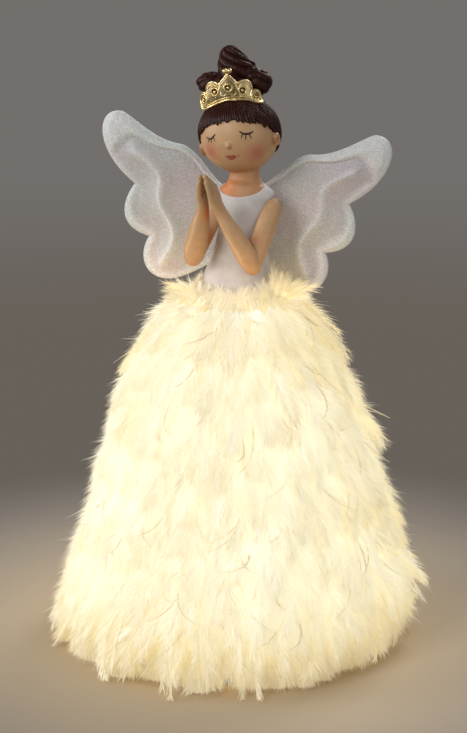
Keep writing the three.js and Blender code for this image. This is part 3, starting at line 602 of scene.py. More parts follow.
BARBS = 40
BARB_POINTS = 5
BARB_CORNERS = ((0, 1, 3), (0, 3, 2), (2, 3, 4))
BARB_HALF_WIDTHS = (0.19, 0.15)
BARB_DEGREES = 50
BARB_DEGREES_FALL = 32
BARB_CLUMP = 4
CLUMP_SPREAD = 0.16
BARB_SPREAD = 0.07
BARB_LEAST = 0.55
BARB_SWELL = 0.75
BARB_SWELL_POWER = 0.8
BARB_LENGTHS = (0.75, 1.15)
BARB_CURL = 0.26
BARB_SWEEP = 0.28
BARB_SAG = np.array([0, 0, -0.16])
BARB_FADES = np.array([0, 0, -0.06, -0.06, -0.14])
BARB_TONE_SPREAD = 0.12
BARB_START = 0.25
FADE_POWER = 1.4
QUILL_STEPS = 7
QUILL_CORNERS = ((0, 1, 3), (0, 3, 2))
QUILL_HALF_WIDTH = 0.2
QUILL_TAPER = 0.8
QUILL_DIMMING = 0.1
QUILL_DARKENING = 0.35
SIDEWAYS = np.array([0.0, 1.0, 0.0])

TIER_SEED = 100
FEATHER_PITCH = 0.85
FEATHER_BARBS = (5.5, 8.5)
FEATHER_ROLL = 0.5
FEATHER_TONE = 0.6
FEATHER_TONE_SPREAD = 0.18
LEAST_HEIGHT = 0.4
ROOT_RISE = (1, 9)
ROOT_DEPTH = (11, 17)
CREST_RISE = (-2, 4)
CREST_SPREAD = (-2.5, 2.5)
CREST_LIFT = 2
CREST_SIDE = 0.1
MIDDLE_SIDE = 0.45
MIDDLE_SIDE_SPREAD = 2.6
MIDDLE_FULLNESS = (0, 2.5)
LONG_SHARE = 0.22
LONG_LENGTHS = (3, 11)
LEAST_TIP_HEIGHT = 0.8
TIP_RECESS = 1

# Tufts, whose feathers are drawn together at the tips. Pairs are for loose feathers and for held ones
TUFT_WIDTH = 10
TUFT_OFFSET = 0.37
TUFT_DROP = 4.2
TUFT_LIFT = 2.6
TUFT_LIFT_RANGE = (-4.2, 4.4)
TUFT_SWAY = 4.0
LOOSE_SHARE = 0.3
LOOSE_HOLD = (0, 0.3)
TUFT_HOLD = (0.6, 0.95)
TIP_DROP_SPREADS = (3.5, 1.4)
TIP_OUT_SPREADS = (1.6, 0.8)
TIP_SIDE_SPREADS = (3.5, 1.0)
FLYAWAY_SHARE = 0.09
FLYAWAY_LIFT = 2.4

# The skirt's own shape, where it is drawn in, flared or shaded to one side
HEM_TUCK_TOP = 10
HEM_PULL = 9
HEM_PULL_AZIMUTH = -0.05
HEM_PULL_WIDTH = 0.7
HEM_PULL_TOP = 36
FLANK_TUCK = 4.5
FLANK_AZIMUTH = -2.8
FLANK_WIDTH = 0.8
FLANK_MIDDLE = 88
FLANK_HEIGHT = 52
FLARE_AZIMUTH = 0.35
FLARE_WIDTH = 0.7
FLARE_GAIN = 0.8
FLARE_HEIGHTS = (15, 50)
FLARE_SHADE = 0.13

# Glow of the lamps through the feathers
LAMP_REACH = 42
LAMP_SHARE = 0.2
HEM_GLOW = 0.45
HEM_GLOW_HEIGHTS = (-8, 45)
TOP_DIMMING = 0.12
TOP_DIMMING_HEIGHTS = (120, 172)
GLOW_SPREAD = 0.05
TIP_DIMMING = 0.22

# Stray quills, nearly bare and curled
STRAY_SHARE = 0.05
STRAY_CURLS = (3, 8)
STRAY_MIDDLE_OUT = 3.0
STRAY_TIP_OUT = 1.5
STRAY_TIP_CURL = 1.6
STRAY_TIP_RISE = 5.0
STRAY_GLOW = 0.4
STRAY_BARB = 0.9
STRAY_TONE = 0.2


def dome_radius(height):
    share = np.clip(height / SHELL_HEIGHT, 0, 1)
    fall = (1 - share ** SHELL_FALL) ** SHELL_SHOULDER
    return SHELL_TOP_RADIUS + (SHELL_FOOT_RADIUS - SHELL_TOP_RADIUS) * fall


def feather_radius(height):
    share = np.clip(height / SHELL_HEIGHT, 0, 1)
    flare = HEM_FLARE * (1 - share) ** HEM_FLARE_POWER + SHOULDER_FLARE * share ** SHOULDER_FLARE_POWER
    return dome_radius(height) + FEATHER_DEPTH + flare


def stood(local, azimuth):
    """Turns points in each feather's own upright plane to where the feather stands."""
    shape = (len(azimuth),) + (1,) * (local.ndim - 2)
    cosine = np.cos(azimuth).reshape(shape)
    sine = np.sin(azimuth).reshape(shape)
    out, aside, up = np.moveaxis(local, -1, 0)
    turned = np.stack([out * cosine - aside * sine, out * sine + aside * cosine, up], axis=-1)
    return turned.reshape(-1, 3)


def plume(azimuth, path, rng, barb_length, roll, tone, glow_root, glow_tip, start=BARB_START,
          widths=BARB_HALF_WIDTHS, quill_width=QUILL_HALF_WIDTH):
    """Feathers: each a curved quill with a row of thin barbs down both of its sides.

    path gives four control points for each feather, as out, sideways and up in its own upright plane.
    """
    count = len(azimuth)
    pairs = (count, BARBS, 2)
    share = np.linspace(start, 1, BARBS)[None, :, None]
    first, second, third, last = (path[:, place][:, None, :] for place in range(4))
    along = unit((second - first) * (1 - share) ** 2 + 2 * (third - second) * share * (1 - share)
                 + (last - third) * share ** 2)
    outward = unit(np.cross(along, SIDEWAYS))
    flat = np.cross(outward, along)
    tilt = roll[:, None, None]
    vane = (np.cos(tilt) * flat + np.sin(tilt) * outward)[:, :, None]
    face = (np.cos(tilt) * outward - np.sin(tilt) * flat)[:, :, None]
    along = along[:, :, None]

    clumps = rng.normal(0, CLUMP_SPREAD, (count, BARBS // BARB_CLUMP + 1, 2))
    angle = np.radians(BARB_DEGREES - BARB_DEGREES_FALL * share)
    angle = angle + clumps.repeat(BARB_CLUMP, axis=1)[:, :BARBS] + rng.normal(0, BARB_SPREAD, pairs)
    swell = np.sin(np.pi * share ** BARB_SWELL_POWER) ** BARB_SWELL_POWER
    length = barb_length[:, None, None] * (BARB_LEAST + BARB_SWELL * swell)
    length = (length * rng.uniform(*BARB_LENGTHS, pairs))[..., None]
    side = np.array([-1.0, 1.0])[None, None, :, None]
    cosine = np.cos(angle)[..., None]
    sine = np.sin(angle)[..., None]
    heading = cosine * along + side * sine * vane
    across = cosine * vane * side - sine * along
    curl = rng.normal(0, BARB_CURL, pairs)[..., None] * face + BARB_SWEEP * along + BARB_SAG
    base = cubic(first, second, third, last, share)[:, :, None]
    middle = base + length * (heading / 2 + curl / 4)
    end = base + length * (heading + curl)
    wide, narrow = widths
    ribbon = np.stack([base - wide * across, base + wide * across,
                       middle - narrow * across, middle + narrow * across, end], axis=3)

    reach = np.linspace(0, 1, QUILL_STEPS)[None, :, None]
    quill = cubic(first, second, third, last, reach)
    thin = quill_width * (1 - QUILL_TAPER * reach) * SIDEWAYS
    barb_points = stood(ribbon, azimuth)
    quill_points = stood(np.stack([quill - thin, quill + thin], axis=2), azimuth)
    strip = np.arange(count * BARBS * 2)[:, None] * BARB_POINTS
    barb_faces = [strip + np.array(corner) for corner in BARB_CORNERS]
    step = (np.arange(count)[:, None] * QUILL_STEPS + np.arange(QUILL_STEPS - 1)[None]).reshape(-1, 1) * 2
    quill_faces = [len(barb_points) + step + np.array(corner) for corner in QUILL_CORNERS]

    fade = glow_root[:, None, None] + (glow_tip - glow_root)[:, None, None] * share ** FADE_POWER
    fade = np.broadcast_to(fade, pairs)[..., None] + BARB_FADES
    shade = tone[:, None, None, None] + rng.normal(0, BARB_TONE_SPREAD, (*pairs, 1)) + np.zeros(BARB_POINTS)
    ends = (count, QUILL_STEPS, 2)
    quill_fade = np.broadcast_to(glow_root[:, None, None] - QUILL_DIMMING, ends)
    quill_shade = np.broadcast_to(tone[:, None, None] - QUILL_DARKENING, ends)
    colours = np.stack([np.concatenate([fade.ravel(), quill_fade.ravel()]),
                        np.concatenate([shade.ravel(), quill_shade.ravel()])], axis=1)
    return (np.concatenate([barb_points, quill_points]), np.concatenate(barb_faces + quill_faces),
            np.clip(colours, 0, 1))


def control(*columns):
    """Control points from rows of out, sideways and up."""
    return np.stack([np.stack(np.broadcast_arrays(*column), axis=-1) for column in columns], axis=1)


def lamp_light(points):
    """How near each point is to the light string's lamps, from 0 to 1."""
    lamps = [name for name in frame["nodes"] if name.startswith("led_") and name != "led_wire"]
    light = np.zeros(len(points))
    for name in lamps:
        low, high = (np.array(corner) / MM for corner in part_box(name))
        gap = np.linalg.norm(points - (low + high) / 2, axis=1)
        light = np.maximum(light, bump(gap, LAMP_REACH))
    return light


def turned_from(angle, start):
    """The angle from a start, within half a turn either way."""
    return (angle - start + np.pi) % (2 * np.pi) - np.pi


def near(azimuth, middle, width):
    return bump(turned_from(azimuth, middle), width)


def scattered_turn(rng, count):
    """Angles of one full turn, each a little off its even place."""
    return (np.arange(count) + rng.uniform(-0.5, 0.5, count)) * 2 * np.pi / count


def tier_glow(rng, azimuth, root_out, height):
    """How strongly each feather of a tier is lit from inside."""
    spots = np.stack([root_out * np.cos(azimuth), root_out * np.sin(azimuth), height], axis=1)
    glow = HEM_GLOW + (1 - HEM_GLOW) * smoothstep(*HEM_GLOW_HEIGHTS, height)
    glow = glow - TOP_DIMMING * smoothstep(*TOP_DIMMING_HEIGHTS, height)
    glow = glow * (1 - LAMP_SHARE + LAMP_SHARE * lamp_light(spots))
    glow = glow + rng.normal(0, GLOW_SPREAD, len(azimuth))
    return glow * (1 - FLARE_SHADE * near(azimuth, FLARE_AZIMUTH, FLARE_WIDTH))


def tier_tuck(index, azimuth, height):
    """How far a tier's tips are drawn in."""
    tuck = HEM_TUCK * smoothstep(HEM_TUCK_TOP, 0, height) if index == 0 else 0
    pull = near(azimuth, HEM_PULL_AZIMUTH, HEM_PULL_WIDTH) * smoothstep(HEM_PULL_TOP, 0, height)
    flank = near(azimuth, FLANK_AZIMUTH, FLANK_WIDTH) * bump(height - FLANK_MIDDLE, FLANK_HEIGHT)
    return tuck + HEM_PULL * pull + FLANK_TUCK * flank


def feather_tier(index):
    """One ring of trim: tufts of feathers drawn together at their tips, with loose ones between."""
    rng = np.random.default_rng(TIER_SEED + index)
    foot = SHELL_HEIGHT * index / TIER_COUNT
    head = SHELL_HEIGHT * (index + 1) / TIER_COUNT
    girth = 2 * np.pi * float(feather_radius(foot))
    count = int(girth / FEATHER_PITCH)
    tufts = int(girth / TUFT_WIDTH)
    azimuth = scattered_turn(rng, count)
    offset = TUFT_OFFSET * index
    tuft = np.floor(azimuth / (2 * np.pi) * tufts + offset).astype(int) % tufts
    lean = turned_from((tuft - offset + 0.5) / tufts * 2 * np.pi, azimuth)
    loose = rng.uniform(0, 1, count) < LOOSE_SHARE
    hold = np.where(loose, rng.uniform(*LOOSE_HOLD, count), rng.uniform(*TUFT_HOLD, count))
    drop = rng.normal(0, TUFT_DROP, tufts)[tuft]
    lift = np.clip(rng.normal(0, TUFT_LIFT, tufts), *TUFT_LIFT_RANGE)
    lift = (lift + FLYAWAY_LIFT * (rng.uniform(0, 1, tufts) < FLYAWAY_SHARE))[tuft]
    flare = smoothstep(*FLARE_HEIGHTS, foot) * near(azimuth, FLARE_AZIMUTH, FLARE_WIDTH)
    lift = lift * (1 + FLARE_GAIN * flare)
    sway = rng.normal(0, TUFT_SWAY, tufts)[tuft]

    root_up = head + rng.uniform(*ROOT_RISE, count)
    root_out = feather_radius(root_up) - rng.uniform(*ROOT_DEPTH, count)
    crest_up = head + rng.uniform(*CREST_RISE, count)
    crest_out = feather_radius(crest_up) - CREST_RECESS + rng.uniform(*CREST_SPREAD, count)
    long = np.where(rng.uniform(0, 1, count) < LONG_SHARE, rng.uniform(*LONG_LENGTHS, count), 0)
    tip_up = foot + drop - long + rng.normal(0, np.where(loose, *TIP_DROP_SPREADS))
    tip_up = np.maximum(tip_up, LEAST_TIP_HEIGHT)
    tip_out = feather_radius(tip_up) - tier_tuck(index, azimuth, tip_up) - TIP_RECESS + lift
    tip_out = tip_out + rng.normal(0, np.where(loose, *TIP_OUT_SPREADS))
    tip_side = hold * lean * tip_out + sway + rng.normal(0, np.where(loose, *TIP_SIDE_SPREADS))
    middle_up = (crest_up + tip_up) / 2
    middle_out = (crest_out + tip_out) / 2 + rng.uniform(*MIDDLE_FULLNESS, count)
    middle_side = MIDDLE_SIDE * tip_side + rng.normal(0, MIDDLE_SIDE_SPREAD, count)
    path = control(
        (root_out, 0.0, root_up),
        (crest_out, CREST_SIDE * tip_side, crest_up + CREST_LIFT),
        (middle_out, middle_side, middle_up),
        (tip_out, tip_side, tip_up),
    )
    glow = tier_glow(rng, azimuth, root_out, middle_up)
    stray = rng.uniform(0, 1, count) < STRAY_SHARE
    curl = rng.choice((-1.0, 1.0), count) * rng.uniform(*STRAY_CURLS, count) * stray
    path[:, 2] += np.stack([STRAY_MIDDLE_OUT * stray, -curl, 0 * curl], axis=1)
    path[:, 3] += np.stack([STRAY_TIP_OUT * stray, STRAY_TIP_CURL * curl, STRAY_TIP_RISE * stray], axis=1)
    glow = np.where(stray, STRAY_GLOW * glow, glow)
    points, faces, colours = plume(
        azimuth, path, rng,
        barb_length=np.where(stray, STRAY_BARB, rng.uniform(*FEATHER_BARBS, count)),
        roll=rng.normal(0, FEATHER_ROLL, count),
        tone=np.where(stray, STRAY_TONE, FEATHER_TONE + rng.normal(0, FEATHER_TONE_SPREAD, count)),
        glow_root=np.clip(glow, 0, 1),
        glow_tip=np.clip(glow - np.where(stray, 0, TIP_DIMMING), 0, 1),
    )
    points[:, 2] = np.maximum(points[:, 2], LEAST_HEIGHT)
    return points, faces, colours


# Ruff at the waist: fluff that falls over the skirt, and wisps that stand up along the bodice

RUFF_SEED = 40
FRONT_AZIMUTH = -1.35
FRONT_WIDTH = 0.9
RUFF_SIDES = (FLARE_AZIMUTH, FLANK_AZIMUTH)
RUFF_SIDE_WIDTH = 0.55
RUFF_TIP_SPREAD = 1.2
RUFF_SHOULDER_SIDE = 0.2
RUFF_MIDDLE_SIDE = 0.6
FLUFF_COUNT = 300
FLUFF_STAND = 0.3
FLUFF_FRONT_STAND = -0.25
FLUFF_SIDE_STAND = 0.35
FLUFF_STAND_RISE = 26
FLUFF_ROOT_OUT = (16.5, 19)
FLUFF_ROOT_RISE = (-3, 1)
FLUFF_FRONT_DROP = 2.5
FLUFF_TIP_DROP = 6
FLUFF_REACH = 33
FLUFF_REACH_SPREAD = 2
FLUFF_SIDE_SPREAD = 4
FLUFF_SHOULDER_OUT = 1.5
FLUFF_SHOULDER_RISE = 3
FLUFF_SHOULDER_DROP = 2
FLUFF_SHOULDER_STAND = 5
FLUFF_MIDDLE_OUT = 0.55
FLUFF_MIDDLE_UP = 0.6
FLUFF_FULLNESS = 1
FLUFF_RISE = 2
FLUFF_BARBS = (5, 8)
WISP_COUNT = 420
WISP_SIDE_AZIMUTH = 0.1
WISP_STANDS = (0.15, 1)
WISP_STAND = 0.7
WISP_SIDE_STAND = 0.3
WISP_FRONT_STAND = -0.42
WISP_STAND_RISE = 19
WISP_ROOT_OUT = (19.6, 21)
WISP_ROOT_RISE = (-3, 0)
WISP_CLEARANCE = (0.8, 2.6)
WISP_SIDE_REACH = 7
WISP_SIDE_POWER = 4
WISP_SIDE_SPREAD = 2.4
WISP_SHOULDER_OUT = 0.8
WISP_SHOULDER_UP = 0.4
WISP_MIDDLE_OUT = 0.6
WISP_MIDDLE_UP = 0.7
WISP_FULLNESS = 0.6
WISP_BARBS = (3.5, 6)
WISP_GLOW = 0.38
WISP_SIDE_GLOW = 0.3
WISP_GLOW_POWER = 3
TORSO_REACH = 60


def waist_fluff(rng):
    """Short down that falls from the foot of the bodice over the skirt."""
    azimuth = scattered_turn(rng, FLUFF_COUNT)
    front = near(azimuth, FRONT_AZIMUTH, FRONT_WIDTH)
    sides = sum(near(azimuth, side, RUFF_SIDE_WIDTH) for side in RUFF_SIDES)
    stand = FLUFF_STAND + FLUFF_FRONT_STAND * front + FLUFF_SIDE_STAND * sides
    stand = rng.uniform(0, 1, FLUFF_COUNT) * stand
    root_out = rng.uniform(*FLUFF_ROOT_OUT, FLUFF_COUNT)
    root_up = FIGURE_FOOT + rng.uniform(*FLUFF_ROOT_RISE, FLUFF_COUNT) - FLUFF_FRONT_DROP * front
    tip_up = FIGURE_FOOT - FLUFF_TIP_DROP + FLUFF_STAND_RISE * stand
    tip_up = tip_up + rng.normal(0, RUFF_TIP_SPREAD, FLUFF_COUNT)
    tip_out = FLUFF_REACH + rng.normal(0, FLUFF_REACH_SPREAD, FLUFF_COUNT)
    tip_side = rng.normal(0, FLUFF_SIDE_SPREAD, FLUFF_COUNT)
    shoulder = FLUFF_SHOULDER_RISE - FLUFF_SHOULDER_DROP * front + FLUFF_SHOULDER_STAND * stand
    path = control(
        (root_out, 0.0, root_up),
        (root_out + FLUFF_SHOULDER_OUT, RUFF_SHOULDER_SIDE * tip_side, root_up + shoulder),
        (blended(root_out, tip_out, FLUFF_MIDDLE_OUT) + FLUFF_FULLNESS, RUFF_MIDDLE_SIDE * tip_side,
         blended(root_up, tip_up, FLUFF_MIDDLE_UP) + FLUFF_RISE),
        (tip_out, tip_side, tip_up),
    )
    return plume(
        azimuth, path, rng,
        barb_length=rng.uniform(*FLUFF_BARBS, FLUFF_COUNT),
        roll=rng.normal(0, 0.6, FLUFF_COUNT),
        tone=0.75 + rng.normal(0, 0.1, FLUFF_COUNT),
        glow_root=np.full(FLUFF_COUNT, 0.55),
        glow_tip=np.full(FLUFF_COUNT, 0.4),
        start=0.1,
        quill_width=0.1,
    )


def waist_wisps(rng):
    """Fine wisps that stand up along the bodice, more of them on one side."""
    azimuth = scattered_turn(rng, WISP_COUNT)
    side = 0.5 + 0.5 * np.cos(azimuth - WISP_SIDE_AZIMUTH)
    front = near(azimuth, FRONT_AZIMUTH, FRONT_WIDTH)
    stand = rng.uniform(*WISP_STANDS, WISP_COUNT) * (WISP_STAND + WISP_SIDE_STAND * side)
    stand = stand * (1 + WISP_FRONT_STAND * front)
    root_up = FIGURE_FOOT + rng.uniform(*WISP_ROOT_RISE, WISP_COUNT)
    tip_up = FIGURE_FOOT + WISP_STAND_RISE * stand + rng.normal(0, RUFF_TIP_SPREAD, WISP_COUNT)
    half_width, half_depth, _, back = torso_at(np.clip(tip_up - FIGURE_FOOT, 0, TORSO_REACH))
    body = half_width * np.cos(azimuth) ** 2 + half_depth * np.sin(azimuth) ** 2 + back * np.sin(azimuth)
    tip_out = body + rng.uniform(*WISP_CLEARANCE, WISP_COUNT)
    tip_out = tip_out + WISP_SIDE_REACH * side ** WISP_SIDE_POWER * rng.uniform(0, 1, WISP_COUNT)
    root_out = rng.uniform(*WISP_ROOT_OUT, WISP_COUNT)
    tip_side = rng.normal(0, WISP_SIDE_SPREAD, WISP_COUNT)
    path = control(
        (root_out, 0.0, root_up),
        (root_out + WISP_SHOULDER_OUT, RUFF_SHOULDER_SIDE * tip_side,
         blended(root_up, tip_up, WISP_SHOULDER_UP)),
        (blended(root_out, tip_out, WISP_MIDDLE_OUT) + WISP_FULLNESS, RUFF_MIDDLE_SIDE * tip_side,
         blended(root_up, tip_up, WISP_MIDDLE_UP)),
        (tip_out, tip_side, tip_up),
    )
    return plume(
        azimuth, path, rng,
        barb_length=rng.uniform(*WISP_BARBS, WISP_COUNT),
        roll=rng.normal(0, 0.35, WISP_COUNT),
        tone=1.0 + rng.normal(0, 0.08, WISP_COUNT),
        glow_root=WISP_GLOW + WISP_SIDE_GLOW * side ** WISP_GLOW_POWER,
        glow_tip=np.full(WISP_COUNT, 0.12),
        start=0.05,
        widths=(0.075, 0.055),
        quill_width=0.07,
    )


def waist_trim():
    rng = np.random.default_rng(RUFF_SEED)
    parts = [waist_fluff(rng), waist_wisps(rng)]
    points, faces = joined([part[:2] for part in parts])
    return points, faces, np.concatenate([part[2] for part in parts])


def add_down(name, down, node):
    points, faces, colours = down
    mesh = mesh_of(name, points, faces)
    paint(mesh, "down", np.column_stack([colours, np.zeros(len(colours))]))
    add_piece(mesh, MATERIALS["feather"], "feather", node)


def add_feathers():
    for index in range(TIER_COUNT):
        add_down(f"feathers_{index + 1:02d}", feather_tier(index), f"feather_tier_{index + 1:02d}")
    add_down("waist_down", waist_trim(), "waist_trim")


# Wings

WING_RINGS = 61
WING_POINTS = 340
WING_CURVE_POINTS = 50
WING_ROOT_POINTS = 30
WING_INSET_POWER = 1.3
WING_SEED = 5
WING_BOW = 1.4
WING_BOW_REACH = 60
WING_BACK_CLEAN = 0.6
BLANK_RING_STEP = 3
BLANK_POINT_STEP = 4
BLANK_SCALE = 10
BLANK_PLUMPNESS = 1.2
SWELL_PRESSURE = 4
SWELL_FRAMES = 20
SWELL_LIMIT = 1.2
SWELL_LEAST = 1e-6
RIDGE_POINTS = 60
FIELD_POINTS = 260
WING_RIDGE = (
    (55, 19.6), (50.5, 17.4), (46, 14.6), (42, 11), (40, 6.5), (40, 1), (39.6, -3),
    (37.2, -8), (33.5, -12.6), (31, -17.6), (30.8, -23.5), (33, -29.5), (36, -35.5),
)
WING_FIELD = (
    (2, 2), (18.4, 12.5), (24, 18), (29.5, 21.3), (33.5, 22.6), (41.5, 22.8), (48, 24), (53, 25.8),
    (57.2, 26.4), (60.2, 24.8), (62.6, 21.8), (64.6, 19.1), (65, 16.9), (63.7, 15), (60.9, 12.8),
    (57.2, 9.4), (53.4, 5.8), (51.6, 2.6), (52.6, -1.2), (53.4, -6.2), (52.2, -10.8), (49.4, -14.6),
    (44, -17.8), (39.6, -20.8), (39.8, -24.8), (40.8, -29), (40.2, -33.6), (38, -37.2), (34.6, -39.4),
    (28, -39.2), (18, -33.5), (8, -27), (2, -24),
)

# Relief of a wing, in millimetres. A pair is where something starts and where it is full
EDGE_HEIGHT = 0.8
EDGE_ROUNDING = 1.8
FIELD_FADE = (-1, 3.5)
PUCKER_FADE = (0, 3)
RIM_TOP = (3, 0.5)
RIM_LOOSE = (2.4, -3.2)
RIM_SEWN_POWER = 0.55
RIM_HEIGHT = 1.2
RIM_RISE = 0.8
RIM_RISE_FADE = (1.5, 4.5)
RIM_BACK = 0.8
CREST_OUTER = 4.2
CREST_OUTER_POWER = 1.2
CREST_INNER = 5.8
CREST_INNER_POWER = 1.12
CREST_HEIGHT = 3.3
CREST_BACK = 0.6
PILLOW_HEIGHT = 0.9
PILLOW_REACH = 5
PILLOW_BACK = 0.9
PINCH_WAVES = (64, 2, 7)
PINCH_PLACE = 0.8
PINCH_WIDTH = 1.3
PINCH_HEIGHT = 0.10
PUCKER_HEIGHT = 0.16
PUCKER_SIZE = 4.0
PUCKER_BACK_HEIGHT = 0.2
PUCKER_BACK_SIZE = 5.0
PUCKER_BACK_SHIFT = 3
SEAM_DEPTH = 0.25
SEAM_PLACE = 1.1
SEAM_WIDTH = 0.35
BAND_TOP_FADE = (0.6, -0.8)
BAND_LOOSE_FADE = (2.2, -2.6)
GLINT_WIDTH = 2.0
# How bright the fabric is painted: a glittery band at the rim, and a painted highlight along the crest
CLEAN_LEAST = 0.2
CLEAN_BAND = 0.8
GLINT_HIGHLIGHT = 0.7
NO_GAP = 1e-6


def distance_to(points, line):
    """Distance to a line of points, and on which side of it each point is."""
    start = line[:-1]
    step = np.diff(line, axis=0)
    away = points[:, None] - start[None]
    share = np.clip((away * step).sum(-1) / (step ** 2).sum(-1), 0, 1)
    gap = away - share[..., None] * step
    length = np.linalg.norm(gap, axis=-1)
    nearest = length.argmin(axis=1)
    row = np.arange(len(points))
    gap = gap[row, nearest]
    step = step[nearest]
    return length[row, nearest], np.sign(step[:, 0] * gap[:, 1] - step[:, 1] * gap[:, 0])


def wing_curves():
    share = np.linspace(0, 1, WING_CURVE_POINTS, endpoint=False)[:, None]
    last = np.array((WING_ROOT, WING_ROOT_TOP))
    curves = []
    for numbers in WING_CURVES:
        first = last
        second, third, last = np.array(numbers, dtype=float).reshape(3, 2)
        curves.append(cubic(first, second, third, last, share))
    return curves


def wing_relief(flat, curves, seed):
    """Heights of a wing's front and back over its middle, its glittery band, and a painted highlight on its
    crest.
    """
    end = np.array([[WING_ROOT, WING_ROOT_FOOT]], dtype=float)
    from_edge, _ = distance_to(flat, np.concatenate(curves + [end]))
    from_top, _ = distance_to(flat, np.concatenate(curves[:2]))
    from_field, outside = distance_to(flat, smooth_path(WING_FIELD, FIELD_POINTS))
    into_field = np.where(outside < 0, from_field, -from_field)
    from_ridge, outer = distance_to(flat, smooth_path(WING_RIDGE, RIDGE_POINTS))
    within = smoothstep(*FIELD_FADE, into_field)
    rounding = np.sqrt(1 - np.clip(1 - from_edge / EDGE_ROUNDING, 0, 1) ** 2)
    across = np.clip(from_edge / (from_edge + from_field + NO_GAP), 0, 1)
    sewn = np.where(into_field < 0, np.sin(np.pi * across) ** RIM_SEWN_POWER, 0)
    loose = smoothstep(*RIM_LOOSE, into_field) * rounding
    top = smoothstep(*RIM_TOP, from_top - from_edge)
    rim = (RIM_HEIGHT + RIM_RISE * smoothstep(*RIM_RISE_FADE, from_edge)) * (top * sewn + (1 - top) * loose)
    crest = np.where(outer > 0, np.exp(-(from_ridge / CREST_OUTER) ** CREST_OUTER_POWER),
                     np.exp(-(from_ridge / CREST_INNER) ** CREST_INNER_POWER))
    crest = crest * within
    pillow = PILLOW_HEIGHT * (1 - np.exp(-np.maximum(into_field, 0) / PILLOW_REACH))
    turned = np.tile(np.arange(WING_POINTS), WING_RINGS) * 2 * np.pi / WING_POINTS
    pinch = PINCH_HEIGHT * wandering(turned, *PINCH_WAVES) * bump(into_field - PINCH_PLACE, PINCH_WIDTH)
    puckered = smoothstep(*PUCKER_FADE, into_field)
    seam = SEAM_DEPTH * bump(from_edge - SEAM_PLACE, SEAM_WIDTH)
    edge = EDGE_HEIGHT * rounding + pinch - seam
    front = edge + rim + CREST_HEIGHT * crest + pillow
    front = front + PUCKER_HEIGHT * wave(flat / PUCKER_SIZE, seed) * puckered
    back = edge + RIM_BACK * rim + CREST_BACK * crest + PILLOW_BACK * pillow
    back_wave = wave(flat / PUCKER_BACK_SIZE + PUCKER_BACK_SHIFT, seed + 1)
    back = back + PUCKER_BACK_HEIGHT * back_wave * puckered
    band = top * smoothstep(*BAND_TOP_FADE, into_field) + (1 - top) * smoothstep(*BAND_LOOSE_FADE, into_field)
    # Painted highlight along the ridge's crest
    glint = bump(from_ridge, GLINT_WIDTH) * within
    lit_and_clean = CLEAN_LEAST + np.maximum(CLEAN_BAND * band, GLINT_HIGHLIGHT * glint)
    return front, back, lit_and_clean


def swelled(points, faces, sewn):
    """How far each point of a fabric blank moves when its filling swells it, by a short cloth simulation."""
    scene = bpy.context.scene
    blank = bpy.data.objects.new("fabric_blank", mesh_of("fabric_blank", points * BLANK_SCALE, faces))
    scene.collection.objects.link(blank)
    group = blank.vertex_groups.new(name="sewn")
    group.add(sewn, 1.0, "REPLACE")
    cloth = blank.modifiers.new("cloth", "CLOTH")
    cloth.settings.vertex_group_mass = "sewn"
    cloth.settings.use_pressure = True
    cloth.settings.uniform_pressure_force = SWELL_PRESSURE
    cloth.settings.effector_weights.gravity = 0
    cloth.point_cache.frame_start = 1
    cloth.point_cache.frame_end = SWELL_FRAMES
    for step in range(1, SWELL_FRAMES + 1):
        scene.frame_set(step)
    result = blank.evaluated_get(bpy.context.evaluated_depsgraph_get())
    move = points_of(result.data) / BLANK_SCALE - points
    source = blank.data
    bpy.data.objects.remove(blank)
    bpy.data.meshes.remove(source)
    scene.frame_set(1)
    length = np.linalg.norm(move, axis=1)[:, None]
    return move * (SWELL_LIMIT * np.tanh(length / SWELL_LIMIT) / np.maximum(length, SWELL_LEAST))


def with_middle(move):
    """The moves of a blank's rings, and its middle, which goes with the innermost of them."""
    middle = np.repeat(move[-1:].mean(axis=1, keepdims=True), move.shape[1], axis=1)
    return np.concatenate([move, middle])


def refined(coarse):
    """Moves on a blank's rings, spread over the wing's finer ones."""
    ring = np.linspace(0, coarse.shape[0] - 1, WING_RINGS)
    low = np.minimum(ring.astype(int), coarse.shape[0] - 2)
    rows = blended(coarse[low], coarse[low + 1], (ring - low)[:, None, None])
    column = np.linspace(0, coarse.shape[1], WING_POINTS, endpoint=False)
    left = column.astype(int)
    return blended(rows[:, left], rows[:, (left + 1) % coarse.shape[1]], (column - left)[None, :, None])


def two_sided(rings, columns, flip):
    """Faces of a front and a back grid that share their first ring."""
    quads = grid_faces(rings, columns, True)
    back = np.arange(rings * columns) + (rings - 1) * columns
    back[:columns] = np.arange(columns)
    faces = np.concatenate([quads, back[quads][:, ::-1]])
    return faces[:, ::-1] if flip else faces


def wing_swell(grid, side):
    """How far a wing's front and back move when the wing is filled."""
    sparse = grid[:-1:BLANK_RING_STEP, ::BLANK_POINT_STEP]
    rings, columns = sparse.shape[:2]
    plump = BLANK_PLUMPNESS * np.sqrt(np.linspace(0, 1, rings))[:, None] + np.zeros((1, columns))
    face = np.stack([side * sparse[..., 0], -plump, sparse[..., 1]], axis=-1)
    rear = np.stack([side * sparse[..., 0], plump, sparse[..., 1]], axis=-1)[1:]
    points = np.concatenate([face.reshape(-1, 3), rear.reshape(-1, 3)])
    puffed = swelled(points, two_sided(rings, columns, side > 0), list(range(columns)))
    ahead = puffed[:rings * columns].reshape(rings, columns, 3)
    behind = np.concatenate([ahead[:1], puffed[rings * columns:].reshape(rings - 1, columns, 3)])
    return [refined(with_middle(half)).reshape(-1, 3) for half in (ahead, behind)]


